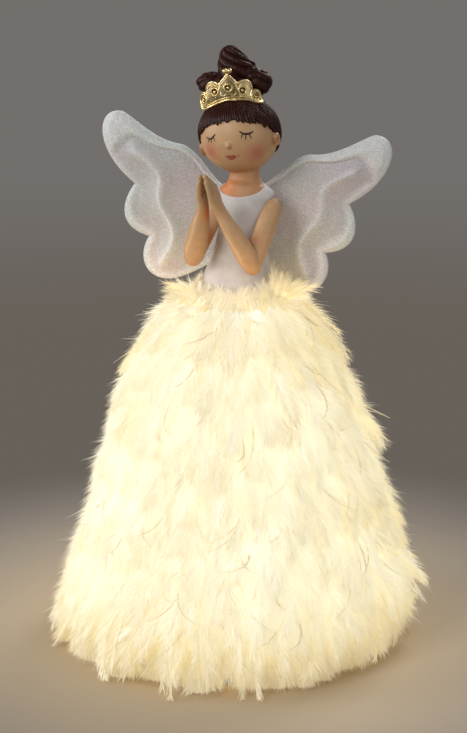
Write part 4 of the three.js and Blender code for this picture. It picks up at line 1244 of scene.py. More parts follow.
def wing_mesh(name, side):
    curves = wing_curves()
    root_height = np.linspace(WING_ROOT_FOOT, WING_ROOT_TOP, WING_ROOT_POINTS, endpoint=False)
    root = np.column_stack([np.full(WING_ROOT_POINTS, WING_ROOT), root_height])
    loop = np.concatenate(curves + [root, curves[0][:1]])
    outline = even_steps(loop, WING_POINTS, False)
    centre = np.array(WING_CENTRE, dtype=float)
    inset = (np.linspace(0, 1, WING_RINGS) ** WING_INSET_POWER)[:, None, None]
    grid = blended(outline[None], centre, inset)
    flat = grid.reshape(-1, 2)
    front, back, lit_and_clean = wing_relief(flat, curves, WING_SEED + side)
    front[:WING_POINTS] = 0
    back[:WING_POINTS] = 0
    bow = WING_BOW * smoothstep(0, WING_BOW_REACH, np.hypot(*(flat - centre).T))
    face = np.column_stack([side * flat[:, 0], -front - bow, flat[:, 1]])
    rear = np.column_stack([side * flat[:, 0], back - bow, flat[:, 1]])
    ahead, behind = wing_swell(grid, side)
    face = face + ahead
    rear = rear + behind
    key = "left" if side > 0 else "right"
    x, z = WING_CENTRE
    fold = Matrix.Translation((side * (x + WING_SHIFT[key]), 0, z)) @ turn("Y", -side * WING_SPLAY[key])
    fold = fold @ Matrix.Translation((-side * x, 0, -z))
    points = placed(WING_FRAME @ fold, np.concatenate([face, rear[WING_POINTS:]]))
    mesh = mesh_of(name, points, two_sided(WING_RINGS, WING_POINTS, side > 0))
    lit_and_clean = np.concatenate([lit_and_clean, np.full(len(rear) - WING_POINTS, WING_BACK_CLEAN)])
    paint(mesh, "relief", np.clip(lit_and_clean, 0, 1))
    return mesh


YOKE_ROWS = 36
YOKE_COLUMNS = 48
YOKE_HALF_WIDTH = 7.6
YOKE_HALF_DEPTH = 3.4
YOKE_WAIST = 0.10
YOKE_RIPPLE = 0.05
YOKE_RIPPLES = 16
YOKE_END_POWER = 8
YOKE_END_LEAST = 0.02
YOKE_WIDTH_POWER = 0.6
YOKE_DEPTH_POWER = 0.7
YOKE_GROOVE = 1.1
YOKE_GROOVE_WIDTH = 0.8
YOKE_PLACE = (-0.8, 1.2)
YOKE_TOP_GAP = 1


def squared(value, power):
    """A sine or cosine drawn out towards a square wave."""
    return np.sign(value) * np.abs(value) ** power


def wing_yoke():
    """The padded strip behind the figure that both wings are sewn to."""
    angle = around(YOKE_COLUMNS)
    aside, behind = YOKE_PLACE
    rings = []
    for share in np.linspace(0, 1, YOKE_ROWS):
        end = np.sqrt(np.clip(1 - (2 * share - 1) ** YOKE_END_POWER, YOKE_END_LEAST, 1))
        width = YOKE_HALF_WIDTH * end * (1 - YOKE_WAIST * np.sin(np.pi * share))
        depth = YOKE_HALF_DEPTH * end * (1 + YOKE_RIPPLE * np.sin(YOKE_RIPPLES * np.pi * share))
        across = squared(np.cos(angle), YOKE_WIDTH_POWER) * width
        deep = squared(np.sin(angle), YOKE_DEPTH_POWER) * depth
        deep = deep - np.where(deep > 0, YOKE_GROOVE * bump(across, YOKE_GROOVE_WIDTH), 0)
        up = WING_ROOT_FOOT + (WING_ROOT_TOP - YOKE_TOP_GAP - WING_ROOT_FOOT) * share
        rings.append(np.column_stack([across + aside, deep + behind, np.full(YOKE_COLUMNS, up)]))
    points, faces = loft(rings)
    mesh = mesh_of("wing_yoke_pad", placed(WING_FRAME, points), faces[:, ::-1])
    paint(mesh, "relief", np.full(len(points), WING_BACK_CLEAN))
    return mesh


def add_wings():
    for name, side in (("left", 1), ("right", -1)):
        mesh = wing_mesh(f"{name}_wing_pad", side)
        piece = add_piece(mesh, MATERIALS["wing_fabric"], "wing_fabric", f"{name}_wing")
    yoke = add_piece(wing_yoke(), MATERIALS["wing_fabric"], "wing_fabric", "wing_yoke")


# Figure: its paints, and the places of its face as pixels of the photograph

SKIN = np.array((0.53, 0.32, 0.165))
# Deep orange for painted shade in creases, under the chin and arms, and for painted glow under the elbows
SKIN_SHADE_AND_GLOW = np.array((0.60, 0.19, 0.045))
# Pale skin for the painted highlight along the arms
SKIN_HIGHLIGHT = np.array((0.74, 0.53, 0.34))
BLUSH = np.array((0.47, 0.135, 0.085))
EAR_PAINT = np.array((0.20, 0.065, 0.025))
EYE_PAINTS = ((0.025, 0.012, 0.008), (0.05, 0.024, 0.014))
LIP_PAINTS = ((0.27, 0.062, 0.036), (0.35, 0.088, 0.05))
CHEEK_PIXELS = ((211, 151.4), (255.7, 153.9))
LEFT_LID_PIXELS = ((206.6, 137.0), (208.4, 138.5), (210.6, 138.8), (213.0, 137.0), (215.2, 134.1))
RIGHT_LID_PIXELS = ((239.1, 131.0), (242.0, 133.2), (245.6, 133.9), (249.6, 133.3), (253.1, 131.4))
LEFT_LASH_PIXELS = (
    ((209.2, 138.8), (208.3, 142.4)), ((211.0, 138.7), (211.3, 142.6)), ((212.8, 137.2), (215.0, 141.4)),
)
RIGHT_LASH_PIXELS = (
    ((242.6, 133.5), (240.9, 138.2)), ((245.7, 133.9), (245.6, 139.9)), ((248.8, 133.5), (251.6, 138.8)),
)
UPPER_LIP_PIXELS = ((226.0, 156.7), (228.4, 155.0), (230.6, 155.5), (233.0, 154.6), (237.0, 156.0))
LOWER_LIP_PIXELS = ((226.0, 156.7), (228.4, 159.2), (231.4, 160.2), (234.6, 159.2), (237.0, 156.0))
LIP_CORNER_PIXELS = (
    ((224.6, 156.0), (225.6, 156.8), (227.0, 157.2)), ((236.2, 156.8), (237.8, 156.2), (239.3, 154.9)),
)

# Sizes of the head's detail, in millimetres. A fade is where something starts and where it is full, and an
# ear's spot is how far it lies forward, its depth, its height and how far inward it goes
HEAD_SIZES = np.array((HEAD_RADIUS, HEAD_RADIUS, HEAD_HALF_HEIGHT))
HEAD_COLUMNS = 96
HEAD_ROWS = 64
HEAD_VOXEL = 0.35
HEAD_ROUNDS = 12
NECK_COLUMNS = 64
NECK_ROWS = 22
NECK_RISES = (45, 59.5)
NECK_GROWTH = -0.4
NECK_RINGS = ((62, 7.9), (63.5, 7.5), (66, 7.3), (69, 7.4), (72, 7.9), (74, 8.6))
EAR_DENT = 1.3
EAR_DENT_SPOT = (0.3, 1.1, 1.7, 0.8)
EAR_PAINT_SPOT = (1.5, 1.3, 2.2, 2.5)
EAR_PAINT_SHARE = 0.85
CHEEK_SIZES = (4.4, 5.2)
CHEEK_SHARE = 0.75
# Painted shade: deeper orange on the chest by the neckline, more on one side, and under the chin
CHEST_SHADE = 0.2
CHEST_SIDE_SHADE = 0.7
CHEST_SIDE_FADE = (4, -8)
CHEST_FADE = (66, 61)
CHIN_SHADE = 0.25
CHIN_FADE = (-13, -18.5)
NECK_SHADE = 0.16
NECK_FADE = (72, 68)
STROKE_STEPS = 14
STROKE_SIDES = 8
STROKE_PROUD = 0.05
STROKE_END = 0.35
STROKE_POWER = 0.7
LID_THICKNESS = (0.44, 0.5)
LASH_STEPS = 6
LASH_PROUD = 0.12
LASH_TAPER = 0.3
LASH_THICKNESS = (0.3, 0.34)
LIP_COLUMNS = 15
LIP_ROWS = 9
LIP_SWELL = 0.5
LIP_SINK = 0.06
LIP_PARTING = 0.22
LIP_PARTING_PLACE = 0.42
LIP_PARTING_WIDTH = 0.10
LIP_CORNER_THICKNESS = 0.2


def photo_ray(x, y):
    """The line of sight through a pixel of the photograph, as its start and heading."""
    ahead = (CAMERA_TARGET - CAMERA_PLACE).normalized()
    right = ahead.cross(Vector((0, 0, 1))).normalized()
    up = right.cross(ahead)
    focal = LENS / SENSOR * PHOTO_HEIGHT
    heading = ahead + right * ((x - PHOTO_WIDTH / 2) / focal) + up * ((PHOTO_HEIGHT / 2 - y) / focal)
    return CAMERA_PLACE, heading.normalized()


def on_face(x, y, proud=0.0):
    """Where the line of sight through a pixel meets the head, in the head's frame."""
    start, heading = photo_ray(x, y)
    back = HEAD_FRAME.inverted()
    sizes = HEAD_SIZES + proud
    origin = np.array(back @ start) / sizes
    ray = np.array(back.to_3x3() @ heading) / sizes
    half = origin.dot(ray)
    square = ray.dot(ray)
    reach = (-half - math.sqrt(half * half - square * (origin.dot(origin) - 1))) / square
    return (origin + ray * reach) * sizes


def ear_spot(local, forward, depth, height, inward):
    """How near each point of the head is to the hollow of an ear, from 0 to 1."""
    x, y, z = EAR_PLACE
    spot = np.exp(-(((local[:, 1] - y + forward) / depth) ** 2 + ((local[:, 2] - z) / height) ** 2))
    return spot * (np.abs(local[:, 0]) > x - inward)


def neck_part():
    """The neck and the bare shoulders, as one skin that goes up into the head."""
    angle = around(NECK_COLUMNS)
    rise = np.linspace(*NECK_RISES, NECK_ROWS)[:, None]
    rings = list(torso_points(rise, angle, NECK_GROWTH))
    _, _, _, x, y = TORSO_SECTIONS[-1]
    for height, radius in NECK_RINGS:
        level = np.full(NECK_COLUMNS, FIGURE_FOOT + height)
        rings.append(np.column_stack([x + radius * np.cos(angle), y + radius * np.sin(angle), level]))
    return loft(rings)


def head_colours(points, local):
    """Skin with blushed cheeks, dark ears, and painted shade on the neck, under the chin and on the chest."""
    colour = np.repeat(SKIN[None], len(points), axis=0)
    for pixel, size in zip(CHEEK_PIXELS, CHEEK_SIZES):
        cheek = CHEEK_SHARE * bump(np.linalg.norm(local - on_face(*pixel), axis=1), size)
        colour = blended(colour, BLUSH, cheek[:, None])
    rise = points[:, 2] - FIGURE_FOOT
    # Painted shade: the neck darker under the chin
    colour = colour * (1 - NECK_SHADE * smoothstep(*NECK_FADE, rise))[:, None]
    # Painted shade of deep orange on the chest by the neckline and under the chin
    deep = CHEST_SHADE + CHEST_SIDE_SHADE * smoothstep(*CHEST_SIDE_FADE, points[:, 0])
    deep = deep * smoothstep(*CHEST_FADE, rise)
    deep = np.maximum(deep, CHIN_SHADE * smoothstep(*CHIN_FADE, local[:, 2]))
    colour = blended(colour, SKIN_SHADE_AND_GLOW, deep[:, None])
    return blended(colour, EAR_PAINT, EAR_PAINT_SHARE * ear_spot(local, *EAR_PAINT_SPOT)[:, None])


def head_mesh():
    parts = [ovoid((0, 0, 0), HEAD_SIZES, columns=HEAD_COLUMNS, rows=HEAD_ROWS),
             ovoid((0, NOSE_DEPTH - HEAD_RADIUS, NOSE_HEIGHT), NOSE_SIZE)]
    x, y, z = EAR_PLACE
    for side in (-1, 1):
        parts.append(ovoid((side * x, y, z), EAR_SIZE, turn("Z", side * EAR_TURN)))
    parts = [(placed(HEAD_FRAME, points), faces) for points, faces in parts]
    mesh = fused("head_cast", parts + [neck_part()], HEAD_VOXEL, HEAD_ROUNDS)
    local = placed(HEAD_FRAME.inverted(), points_of(mesh))
    local[:, 0] -= EAR_DENT * np.sign(local[:, 0]) * ear_spot(local, *EAR_DENT_SPOT)
    points = placed(HEAD_FRAME, local)
    mesh.vertices.foreach_set("co", (points * MM).astype(np.float32).ravel())
    mesh.update()
    paint(mesh, "paint", head_colours(points, local))
    return mesh


def stroke(pixels, thick):
    """A painted line on the face, through pixels of the photograph."""
    path = smooth_path([on_face(*pixel, STROKE_PROUD) for pixel in pixels], STROKE_STEPS)
    radii = thick * np.sin(np.linspace(STROKE_END, np.pi - STROKE_END, STROKE_STEPS)) ** STROKE_POWER
    return tube(path, radii, STROKE_SIDES)


def lash(start, end, thick):
    path = np.linspace(on_face(*start, STROKE_PROUD), on_face(*end, LASH_PROUD), LASH_STEPS)
    return tube(path, np.linspace(thick, LASH_TAPER * thick, LASH_STEPS), STROKE_SIDES)


def closed_eyes():
    parts = [stroke(*lid) for lid in zip((LEFT_LID_PIXELS, RIGHT_LID_PIXELS), LID_THICKNESS)]
    for lashes, thick in zip((LEFT_LASH_PIXELS, RIGHT_LASH_PIXELS), LASH_THICKNESS):
        parts += [lash(start, end, thick) for start, end in lashes]
    return joined(parts)


def lips():
    """The painted mouth: a small pout with thin smiling corners."""
    top = smooth_path([on_face(*pixel) for pixel in UPPER_LIP_PIXELS], LIP_COLUMNS)
    low = smooth_path([on_face(*pixel) for pixel in LOWER_LIP_PIXELS], LIP_COLUMNS)
    full = np.sin(np.linspace(0, np.pi, LIP_COLUMNS))
    rows = []
    for share in np.linspace(0, 1, LIP_ROWS):
        swell = LIP_SWELL * np.sin(np.pi * share) * full - LIP_SINK
        swell = swell - LIP_PARTING * bump(share - LIP_PARTING_PLACE, LIP_PARTING_WIDTH) * full
        rows.append(blended(top, low, share) * (1 + swell[:, None] / HEAD_RADIUS))
    patch = np.concatenate(rows), grid_faces(LIP_ROWS, LIP_COLUMNS, False)
    return joined([patch] + [stroke(pixels, LIP_CORNER_THICKNESS) for pixels in LIP_CORNER_PIXELS])


def add_face_paint(name, part, material):
    points, faces = part
    add_piece(mesh_of(name, placed(HEAD_FRAME, points), faces), material, "skin")


def add_head():
    add_piece(head_mesh(), MATERIALS["skin"], "skin", "head")
    dark = moulded_material("eye_paint", *EYE_PAINTS, low=0.4, high=0.55)
    add_face_paint("closed_eyes", closed_eyes(), dark)
    red = moulded_material("lip_paint", *LIP_PAINTS, low=0.35, high=0.5)
    add_face_paint("lips", lips(), red)


# Hair: depths in millimetres, reliefs from 0 in a groove to 1 on a strand. WAVES give the count of waves
# round the head, how far they wander, and the count of that wandering

CAP_COLUMNS = 540
CAP_ROWS = 64
CAP_START = 0.04
CAP_EDGE_STEPS = 600
CAP_THINNING = 0.25
CAP_THINNING_FADE = (0.86, 1)
CAP_GROOVE = 0.8
CAP_GROOVE_FADE = (0.05, 0.2)
CAP_RIM = 0.3
CAP_TUCK = -0.6
CAP_LINING = -0.8
CAP_LINING_STEP = 8
CAP_TOP_SHADE = 0.8
CAP_LEAST_SHADE = 0.15
CAP_LINING_SHADE = 0.3
NAPE_FADE = (-4, 5)
EDGE_LOCK_WAVES = (27, 1.5, 5)
EDGE_LOCK_POWER = 0.7
EDGE_LOCK_MEAN = 0.6
EDGE_LOCK_DEPTH = 0.045
EDGE_TIP_WAVES = (61, 3, 9)
EDGE_TIP_DEPTH = 0.022
EDGE_WAVES = (14, 2, 6)
EDGE_WAVE_DEPTH = 0.03
STRAND_COUNT = 88
STRAND_SEED = 1.3
STRAND_POWER = 0.6
STRAND_COARSE = 0.7
STRAND_FINE_PACE = 1.7
STRAND_COARSE_WANDER = 2.2
STRAND_FINE_WANDER = 5
STRAND_SWAY = 0.8
STRAND_SWAY_PACE = 3
STRAND_WANDERS = ((0.5, 3, 1, 0), (0.35, 7, 2.1, 2))
BUN_COILS = (
    ((0, 7, 21.6), (13.4, 9.8, 7.2), 6, 0.9, 0.2),
    ((-12.0, 5.6, 27.0), (6.9, 6.0, 4.9), 4, 1.5, 0.7),
    ((-7.4, 4.4, 24.6), (6.0, 5.0, 4.6), 3, -1.3, 1.9),
    ((12.6, 7.4, 23.2), (6.0, 6.2, 6.2), 4, -1.4, 2.6),
    ((9.6, 6.0, 27.4), (5.2, 5.2, 4.6), 3, 1.3, 3.4),
    ((1.0, 13.4, 28.6), (7.4, 6.4, 6.8), 5, 1.6, 4.1),
    ((-5.4, 11.6, 25.4), (6.6, 6.2, 5.8), 4, 1.4, 5.0),
)
BUN_TOWER = (
    (0.6, 11.8, 20), (1.2, 11.2, 26), (2.2, 9.6, 30.4), (2.2, 8.9, 33), (1.2, 7.4, 35.8),
    (0.7, 5.9, 38.6), (0.4, 4.4, 41.0), (0.3, 3.0, 42.4), (0.3, 1.4, 43.2), (0.3, 0.2, 43.4),
)
COIL_COLUMNS = 150
COIL_ROWS = 70
COIL_POLE_GAP = 0.03
COIL_WAVER = 0.25
COIL_COMB_WANDER = 1.2
COIL_LOCK_DEPTH = 0.2
COIL_LOCK_MEAN = 0.75
COIL_COMB_DEPTH = 0.05
COIL_PITCH = 12
COIL_PITCH_PACE = 2.7
COIL_TILT = 14
COIL_TILT_PACE = 1.9
TOWER_COLUMNS = 180
TOWER_ROWS = 110
TOWER_DEPTH = 6.8
TOWER_FLATNESS = 0.85
TOWER_LOCKS = 7
TOWER_TWIST = 3.6
TOWER_TWIST_POWER = 1.3
TOWER_PHASE = 0.9
TOWER_WAVER = 0.3
TOWER_COMB_WANDER = 1.1
TOWER_LOCK_POWER = 0.5
TOWER_LOCK_DEPTH = 0.3
TOWER_LOCK_MEAN = 0.86
TOWER_COMB_DEPTH = 0.07
LOCK_POWER = 0.55
LOCK_SHARE = 0.72
COMB_PACE = 3.5
COMB_POWER = 0.6
COMB_MEAN = 0.7
COMB_WANDER_COUNT = 3
BUN_END_SHADE = 0.6


def with_ends(values, end):
    """Values for the points of a loft: those of its rings, and one for both of its ends."""
    ends = np.full(values.shape[1], end)
    return np.concatenate([ends, values.ravel(), ends])


def strand_relief(angle, down):
    wander = 0
    for height, waves, phase, fall in STRAND_WANDERS:
        wander = wander + height * np.sin(waves * angle + phase * STRAND_SEED + fall * down)
    sway = STRAND_SWAY * np.sin(STRAND_SWAY_PACE * down + STRAND_SEED)
    coarse = np.abs(np.sin(STRAND_COUNT / 2 * angle + STRAND_COARSE_WANDER * wander + sway))
    fine = STRAND_FINE_PACE * STRAND_COUNT * angle + STRAND_FINE_WANDER * wander + STRAND_SEED
    return blended(np.abs(np.sin(fine)) ** STRAND_POWER, coarse ** STRAND_POWER, STRAND_COARSE)


def hair_edge(angle):
    """How far down the head the hair ends, as an angle from its top, with the tips of its locks."""
    polar = np.linspace(0, np.pi, CAP_EDGE_STEPS)
    radius = HEAD_RADIUS + HAIR_THICKNESS
    y = -np.sin(polar)[:, None] * np.cos(angle)[None] * radius
    z = np.cos(polar)[:, None] * radius
    fringe = FRINGE_HEIGHT - math.tan(math.radians(FRINGE_SLOPE)) * (y + FRINGE_FRONT)
    above = z - fringe + NAPE_DROP * smoothstep(*NAPE_FADE, y)
    edge = polar[np.argmax(above < 0, axis=0)]
    locks = np.abs(wandering(angle, *EDGE_LOCK_WAVES)) ** EDGE_LOCK_POWER
    edge = edge + EDGE_LOCK_DEPTH * (locks - EDGE_LOCK_MEAN)
    edge = edge + EDGE_TIP_DEPTH * wandering(angle, *EDGE_TIP_WAVES)
    return edge + EDGE_WAVE_DEPTH * wandering(angle, *EDGE_WAVES)


def hair_cap():
    angle = around(CAP_COLUMNS)
    share = np.linspace(CAP_START, 1, CAP_ROWS)[:, None]
    down = share * hair_edge(angle)[None]
    relief = strand_relief(angle, down)
    reach = HAIR_THICKNESS * (1 - CAP_THINNING * smoothstep(*CAP_THINNING_FADE, share))
    reach = reach - CAP_GROOVE * (1 - relief) * smoothstep(*CAP_GROOVE_FADE, share)
    heading = sphere_headings(down, angle - np.pi / 2)
    outer = heading * (HEAD_SIZES + reach[..., None])
    rim = heading[-1:] * (HEAD_SIZES + CAP_RIM)
    tuck = heading[-1:] * (HEAD_SIZES + CAP_TUCK)
    inner = heading[::CAP_LINING_STEP][::-1] * (HEAD_SIZES + CAP_LINING)
    points, faces = loft(np.concatenate([outer, rim, tuck, inner]))
    # Painted shade on the hair: darkest in the grooves, lighter on the strands
    shade = np.full(len(points), CAP_LINING_SHADE)
    shade[:CAP_COLUMNS] = CAP_TOP_SHADE
    shade[CAP_COLUMNS:CAP_COLUMNS + relief.size] = blended(CAP_LEAST_SHADE, 1, relief).ravel()
    mesh = mesh_of("combed_hair", placed(HEAD_FRAME, points), faces)
    paint(mesh, "relief", shade)
    return mesh


def bun_relief(lock, comb):
    # Painted shade on the bun: darkest in the grooves between locks and strands
    return with_ends(blended(comb ** COMB_POWER, lock ** LOCK_POWER, LOCK_SHARE), BUN_END_SHADE)


def bun_coil(centre, sizes, locks, twist, seed):
    """A knot of hair: an ovoid with locks twisting down it, combed with finer strands."""
    polar = np.linspace(COIL_POLE_GAP, np.pi - COIL_POLE_GAP, COIL_ROWS)
    polar, angle = np.meshgrid(polar, around(COIL_COLUMNS), indexing="ij")
    turned = angle + twist * polar + COIL_WAVER * np.sin(2 * polar + seed)
    lock = np.abs(np.sin(locks / 2 * turned + seed))
    wander = COIL_COMB_WANDER * np.sin(COMB_WANDER_COUNT * angle + seed)
    comb = np.abs(np.sin(locks * COMB_PACE * turned + wander))
    swell = COIL_LOCK_DEPTH * (lock ** LOCK_POWER - COIL_LOCK_MEAN)
    swell = swell + COIL_COMB_DEPTH * (comb ** COMB_POWER - COMB_MEAN)
    reach = 1 + swell * np.sqrt(np.sin(polar))
    rings = sphere_headings(polar, angle) * reach[..., None] * np.array(sizes)
    lean = turn("X", COIL_PITCH * math.sin(seed * COIL_PITCH_PACE))
    lean = lean @ turn("Y", COIL_TILT * math.cos(seed * COIL_TILT_PACE))
    return loft(placed(lean, rings) + np.array(centre)), bun_relief(lock, comb)


def bun_tower():
    """The top of the knot: locks wound up to a point."""
    middle, radius, height = smooth_path(BUN_TOWER, TOWER_ROWS).T[:, :, None]
    angle = around(TOWER_COLUMNS)[None]
    share = (height - height[0]) / (height[-1] - height[0])
    turned = angle + TOWER_TWIST * share ** TOWER_TWIST_POWER
    waver = TOWER_PHASE + TOWER_WAVER * np.sin(2 * angle)
    lock = np.abs(np.sin(TOWER_LOCKS / 2 * turned + waver))
    wander = TOWER_COMB_WANDER * np.sin(COMB_WANDER_COUNT * angle)
    comb = np.abs(np.sin(TOWER_LOCKS * COMB_PACE * turned + wander))
    swell = TOWER_LOCK_DEPTH * (lock ** TOWER_LOCK_POWER - TOWER_LOCK_MEAN)
    swell = swell + TOWER_COMB_DEPTH * (comb ** COMB_POWER - COMB_MEAN)
    reach = radius * (1 + swell)
    deep = TOWER_DEPTH + TOWER_FLATNESS * reach * np.sin(angle)
    rings = np.stack([middle + reach * np.cos(angle), deep, height + 0 * angle], axis=-1)
    return loft(rings), bun_relief(lock, comb)


def hair_bun():
    knots = [bun_coil(*coil) for coil in BUN_COILS] + [bun_tower()]
    points, faces = joined([part for part, _ in knots])
    mesh = mesh_of("twisted_bun", placed(HEAD_FRAME, points), faces)
    paint(mesh, "relief", np.concatenate([relief for _, relief in knots]))
    return mesh


# Crown: OUT is how far a line stands off the band, THICKNESS is a radius

CROWN_COLUMNS = 181
CROWN_ROWS = 40
CROWN_CLEARANCE = 0.1
CROWN_LEAST_BAND = 1.5
CROWN_FRONT = 0.5
CROWN_SWELL = 0.3
CROWN_REAR = -0.55
CROWN_DISH = 0.55
CROWN_DISH_FADE = (0.2, -0.9)
CROWN_BLOT = 0.5
CROWN_BLOT_SPREAD = 0.28
CROWN_BLOT_SIZE = 0.9
CROWN_BLOT_RANGE = (0.1, 1)
CROWN_BLOT_SEED = 77
CROWN_REAR_SHADE = 0.3
CROWN_END_SHADE = 0.5
RIM_SIDES = 12
LINE_SIDES = 10
TOP_RIM_LIFT = -0.25
TOP_RIM_OUT = 0.15
TOP_RIM_THICKNESS = 0.6
FOOT_RIM_LIFT = 0.5
FOOT_RIM_OUT = 0.35
FOOT_RIM_THICKNESS = 0.75
FOOT_LINE_LIFT = 1.75
FOOT_LINE_OUT = 0.6
FOOT_LINE_THICKNESS = 0.32
PEAK_LINE_REACH = 3.4
PEAK_LINE_STEPS = 31
PEAK_LINE_LIFT = -1.5
PEAK_LINE_OUT = 0.65
PEAK_LINE_THICKNESS = 0.34
PEAK_BEAD_ASIDE = 1.15
PEAK_BEAD_LIFT = 1.2
PEAK_BEAD_RADIUS = 1.35
EYE_RING_THICKNESS = 0.45
EYE_RING_OUT = 0.7
EYE_BEAD_RADIUS = 0.85
EYE_BEAD_OUT = 0.45
ROUNDEL_RING_THICKNESS = 0.62
ROUNDEL_RING_OUT = 0.7
ROUNDEL_INNER_SHARE = 0.55
ROUNDEL_INNER_THICKNESS = 0.3
ROUNDEL_INNER_OUT = 0.5
ROUNDEL_BEAD_RADIUS = 0.75
ROUNDEL_BEAD_OUT = 0.6
ARCH_LINE_ANGLES = (-0.35, np.pi - 0.1)
ARCH_LINE_STEPS = 40
ARCH_LINE_INSET = 1.5
ARCH_LINE_OUT = 0.65
ARCH_LINE_THICKNESS = 0.36
SCROLL_STEPS = 26
SCROLL_OUT = 0.6
SCROLL_LEAST = 0.45
SCROLL_END = 0.1
RING_STEPS = 40
BEAD_COLUMNS = 24
BEAD_ROWS = 16


def crown_top(aside):
    """Height of the crown's upper edge, by the distance aside along its band."""
    height = CROWN_BAND - CROWN_BAND_FALL * aside ** 2
    for place, middle, radius in CROWN_ARCHES:
        within = np.clip(1 - ((np.abs(aside) - place) / radius) ** 2, 0, 1)
        height = np.where(within > 0, np.maximum(height, middle + radius * np.sqrt(within)), height)
    gable = CROWN_PEAK - CROWN_GABLE_SLOPE * np.abs(aside) + CROWN_GABLE_CURVE * aside ** 2
    return np.where(np.abs(aside) < CROWN_GABLE_REACH, np.maximum(height, gable), height)


def crown_point(aside, height, out):
    """A point on the crown's bent band: aside along it, up, and out from it, kept clear of the hair."""
    angle = np.radians(CROWN_MIDDLE) + np.asarray(aside, dtype=float) / CROWN_RADIUS
    aim = np.stack([np.sin(angle), -np.cos(angle), 0 * angle], axis=-1)
    base = np.stack([0 * angle, 0 * angle, height + 0 * angle], axis=-1)
    back = HEAD_FRAME.inverted() @ CROWN_FRAME
    sizes = HEAD_SIZES + HAIR_THICKNESS
    start = placed(back, base) / sizes
    heading = aim @ np.array(back)[:3, :3].T / sizes
    square = (heading ** 2).sum(axis=-1)
    half = (start * heading).sum(axis=-1)
    inside = half ** 2 - square * ((start ** 2).sum(axis=-1) - 1)
    hair = np.where(inside > 0, (np.sqrt(np.maximum(inside, 0)) - half) / square, 0)
    reach = np.maximum(CROWN_RADIUS, hair + CROWN_CLEARANCE) + out
    return base + reach[..., None] * aim


def crown_line(aside, height, out, thick, sides=LINE_SIDES):
    return tube(crown_point(aside, height, out), thick, sides)


def crown_ring(aside, height, radius, thick, out):
    angle = around(RING_STEPS)
    path = crown_point(aside + radius * np.cos(angle), height + radius * np.sin(angle), out)
    return tube(np.concatenate([path, path[:2]]), thick, RIM_SIDES)


def crown_bead(aside, height, radius, out):
    return ball(crown_point(aside, height, out), radius, BEAD_COLUMNS, BEAD_ROWS)


def crown_scroll(corners, sign, thick):
    """A raised line on the crown, through points aside and up, thinning to its ends."""
    aside, height = smooth_path([(sign * place, height) for place, height in corners], SCROLL_STEPS).T
    full = np.sin(np.linspace(SCROLL_END, np.pi - SCROLL_END, SCROLL_STEPS))
    return crown_line(aside, height, SCROLL_OUT, thick * blended(SCROLL_LEAST, 1, full))


def crown_plate(aside, foot, top):
    """The crown's bent plate, dished behind its eyes and roundels, its gold's tarnish and painted shade on its
    back.
    """
    share = np.linspace(0, 1, CROWN_ROWS)[:, None]
    height = blended(foot, top, share)
    dish = np.zeros_like(height)
    for place, middle, radius in (*CROWN_EYES, CROWN_ROUNDEL):
        for sign in (-1, 1):
            gap = np.hypot(aside - sign * place, height - middle)
            dish = np.maximum(dish, smoothstep(*CROWN_DISH_FADE, gap - radius))
    across = aside + 0 * share
    out = CROWN_FRONT + CROWN_SWELL * np.sin(np.pi * share) - CROWN_DISH * dish
    front = crown_point(across, height, out)
    rear = crown_point(across, height, CROWN_REAR)
    skin = loft(np.swapaxes(np.concatenate([front, rear[::-1]]), 0, 1))
    blot = wave(np.stack([across, height], axis=-1) / CROWN_BLOT_SIZE, CROWN_BLOT_SEED)
    blot = np.clip(CROWN_BLOT + CROWN_BLOT_SPREAD * blot, *CROWN_BLOT_RANGE)
    # Painted shade on the plate's back; the dished hollows are tarnished
    lit_and_clean = np.concatenate([blot * (1 - dish), np.full_like(dish, CROWN_REAR_SHADE)]).T
    return skin, with_ends(lit_and_clean, CROWN_END_SHADE)


def crown_side(sign):
    """The raised work on one half of the crown."""
    parts = []
    for place, middle, radius in CROWN_EYES:
        if place or sign > 0:
            parts.append(crown_ring(sign * place, middle, radius, EYE_RING_THICKNESS, EYE_RING_OUT))
            parts.append(crown_bead(sign * place, middle, EYE_BEAD_RADIUS, EYE_BEAD_OUT))
    place, middle, radius = CROWN_ROUNDEL
    inner = ROUNDEL_INNER_SHARE * radius
    parts.append(crown_ring(sign * place, middle, radius, ROUNDEL_RING_THICKNESS, ROUNDEL_RING_OUT))
    parts.append(crown_ring(sign * place, middle, inner, ROUNDEL_INNER_THICKNESS, ROUNDEL_INNER_OUT))
    parts.append(crown_bead(sign * place, middle, ROUNDEL_BEAD_RADIUS, ROUNDEL_BEAD_OUT))
    parts += [crown_scroll(corners, sign, thick) for corners, thick in CROWN_SCROLLS]
    angle = np.linspace(*ARCH_LINE_ANGLES, ARCH_LINE_STEPS)
    place, middle, radius = CROWN_ARCHES[0]
    radius = radius - ARCH_LINE_INSET
    aside = sign * (place + radius * np.cos(angle))
    parts.append(crown_line(aside, middle + radius * np.sin(angle), ARCH_LINE_OUT, ARCH_LINE_THICKNESS))
    parts.append(crown_bead(sign * PEAK_BEAD_ASIDE, CROWN_PEAK + PEAK_BEAD_LIFT, PEAK_BEAD_RADIUS, 0))
    return parts


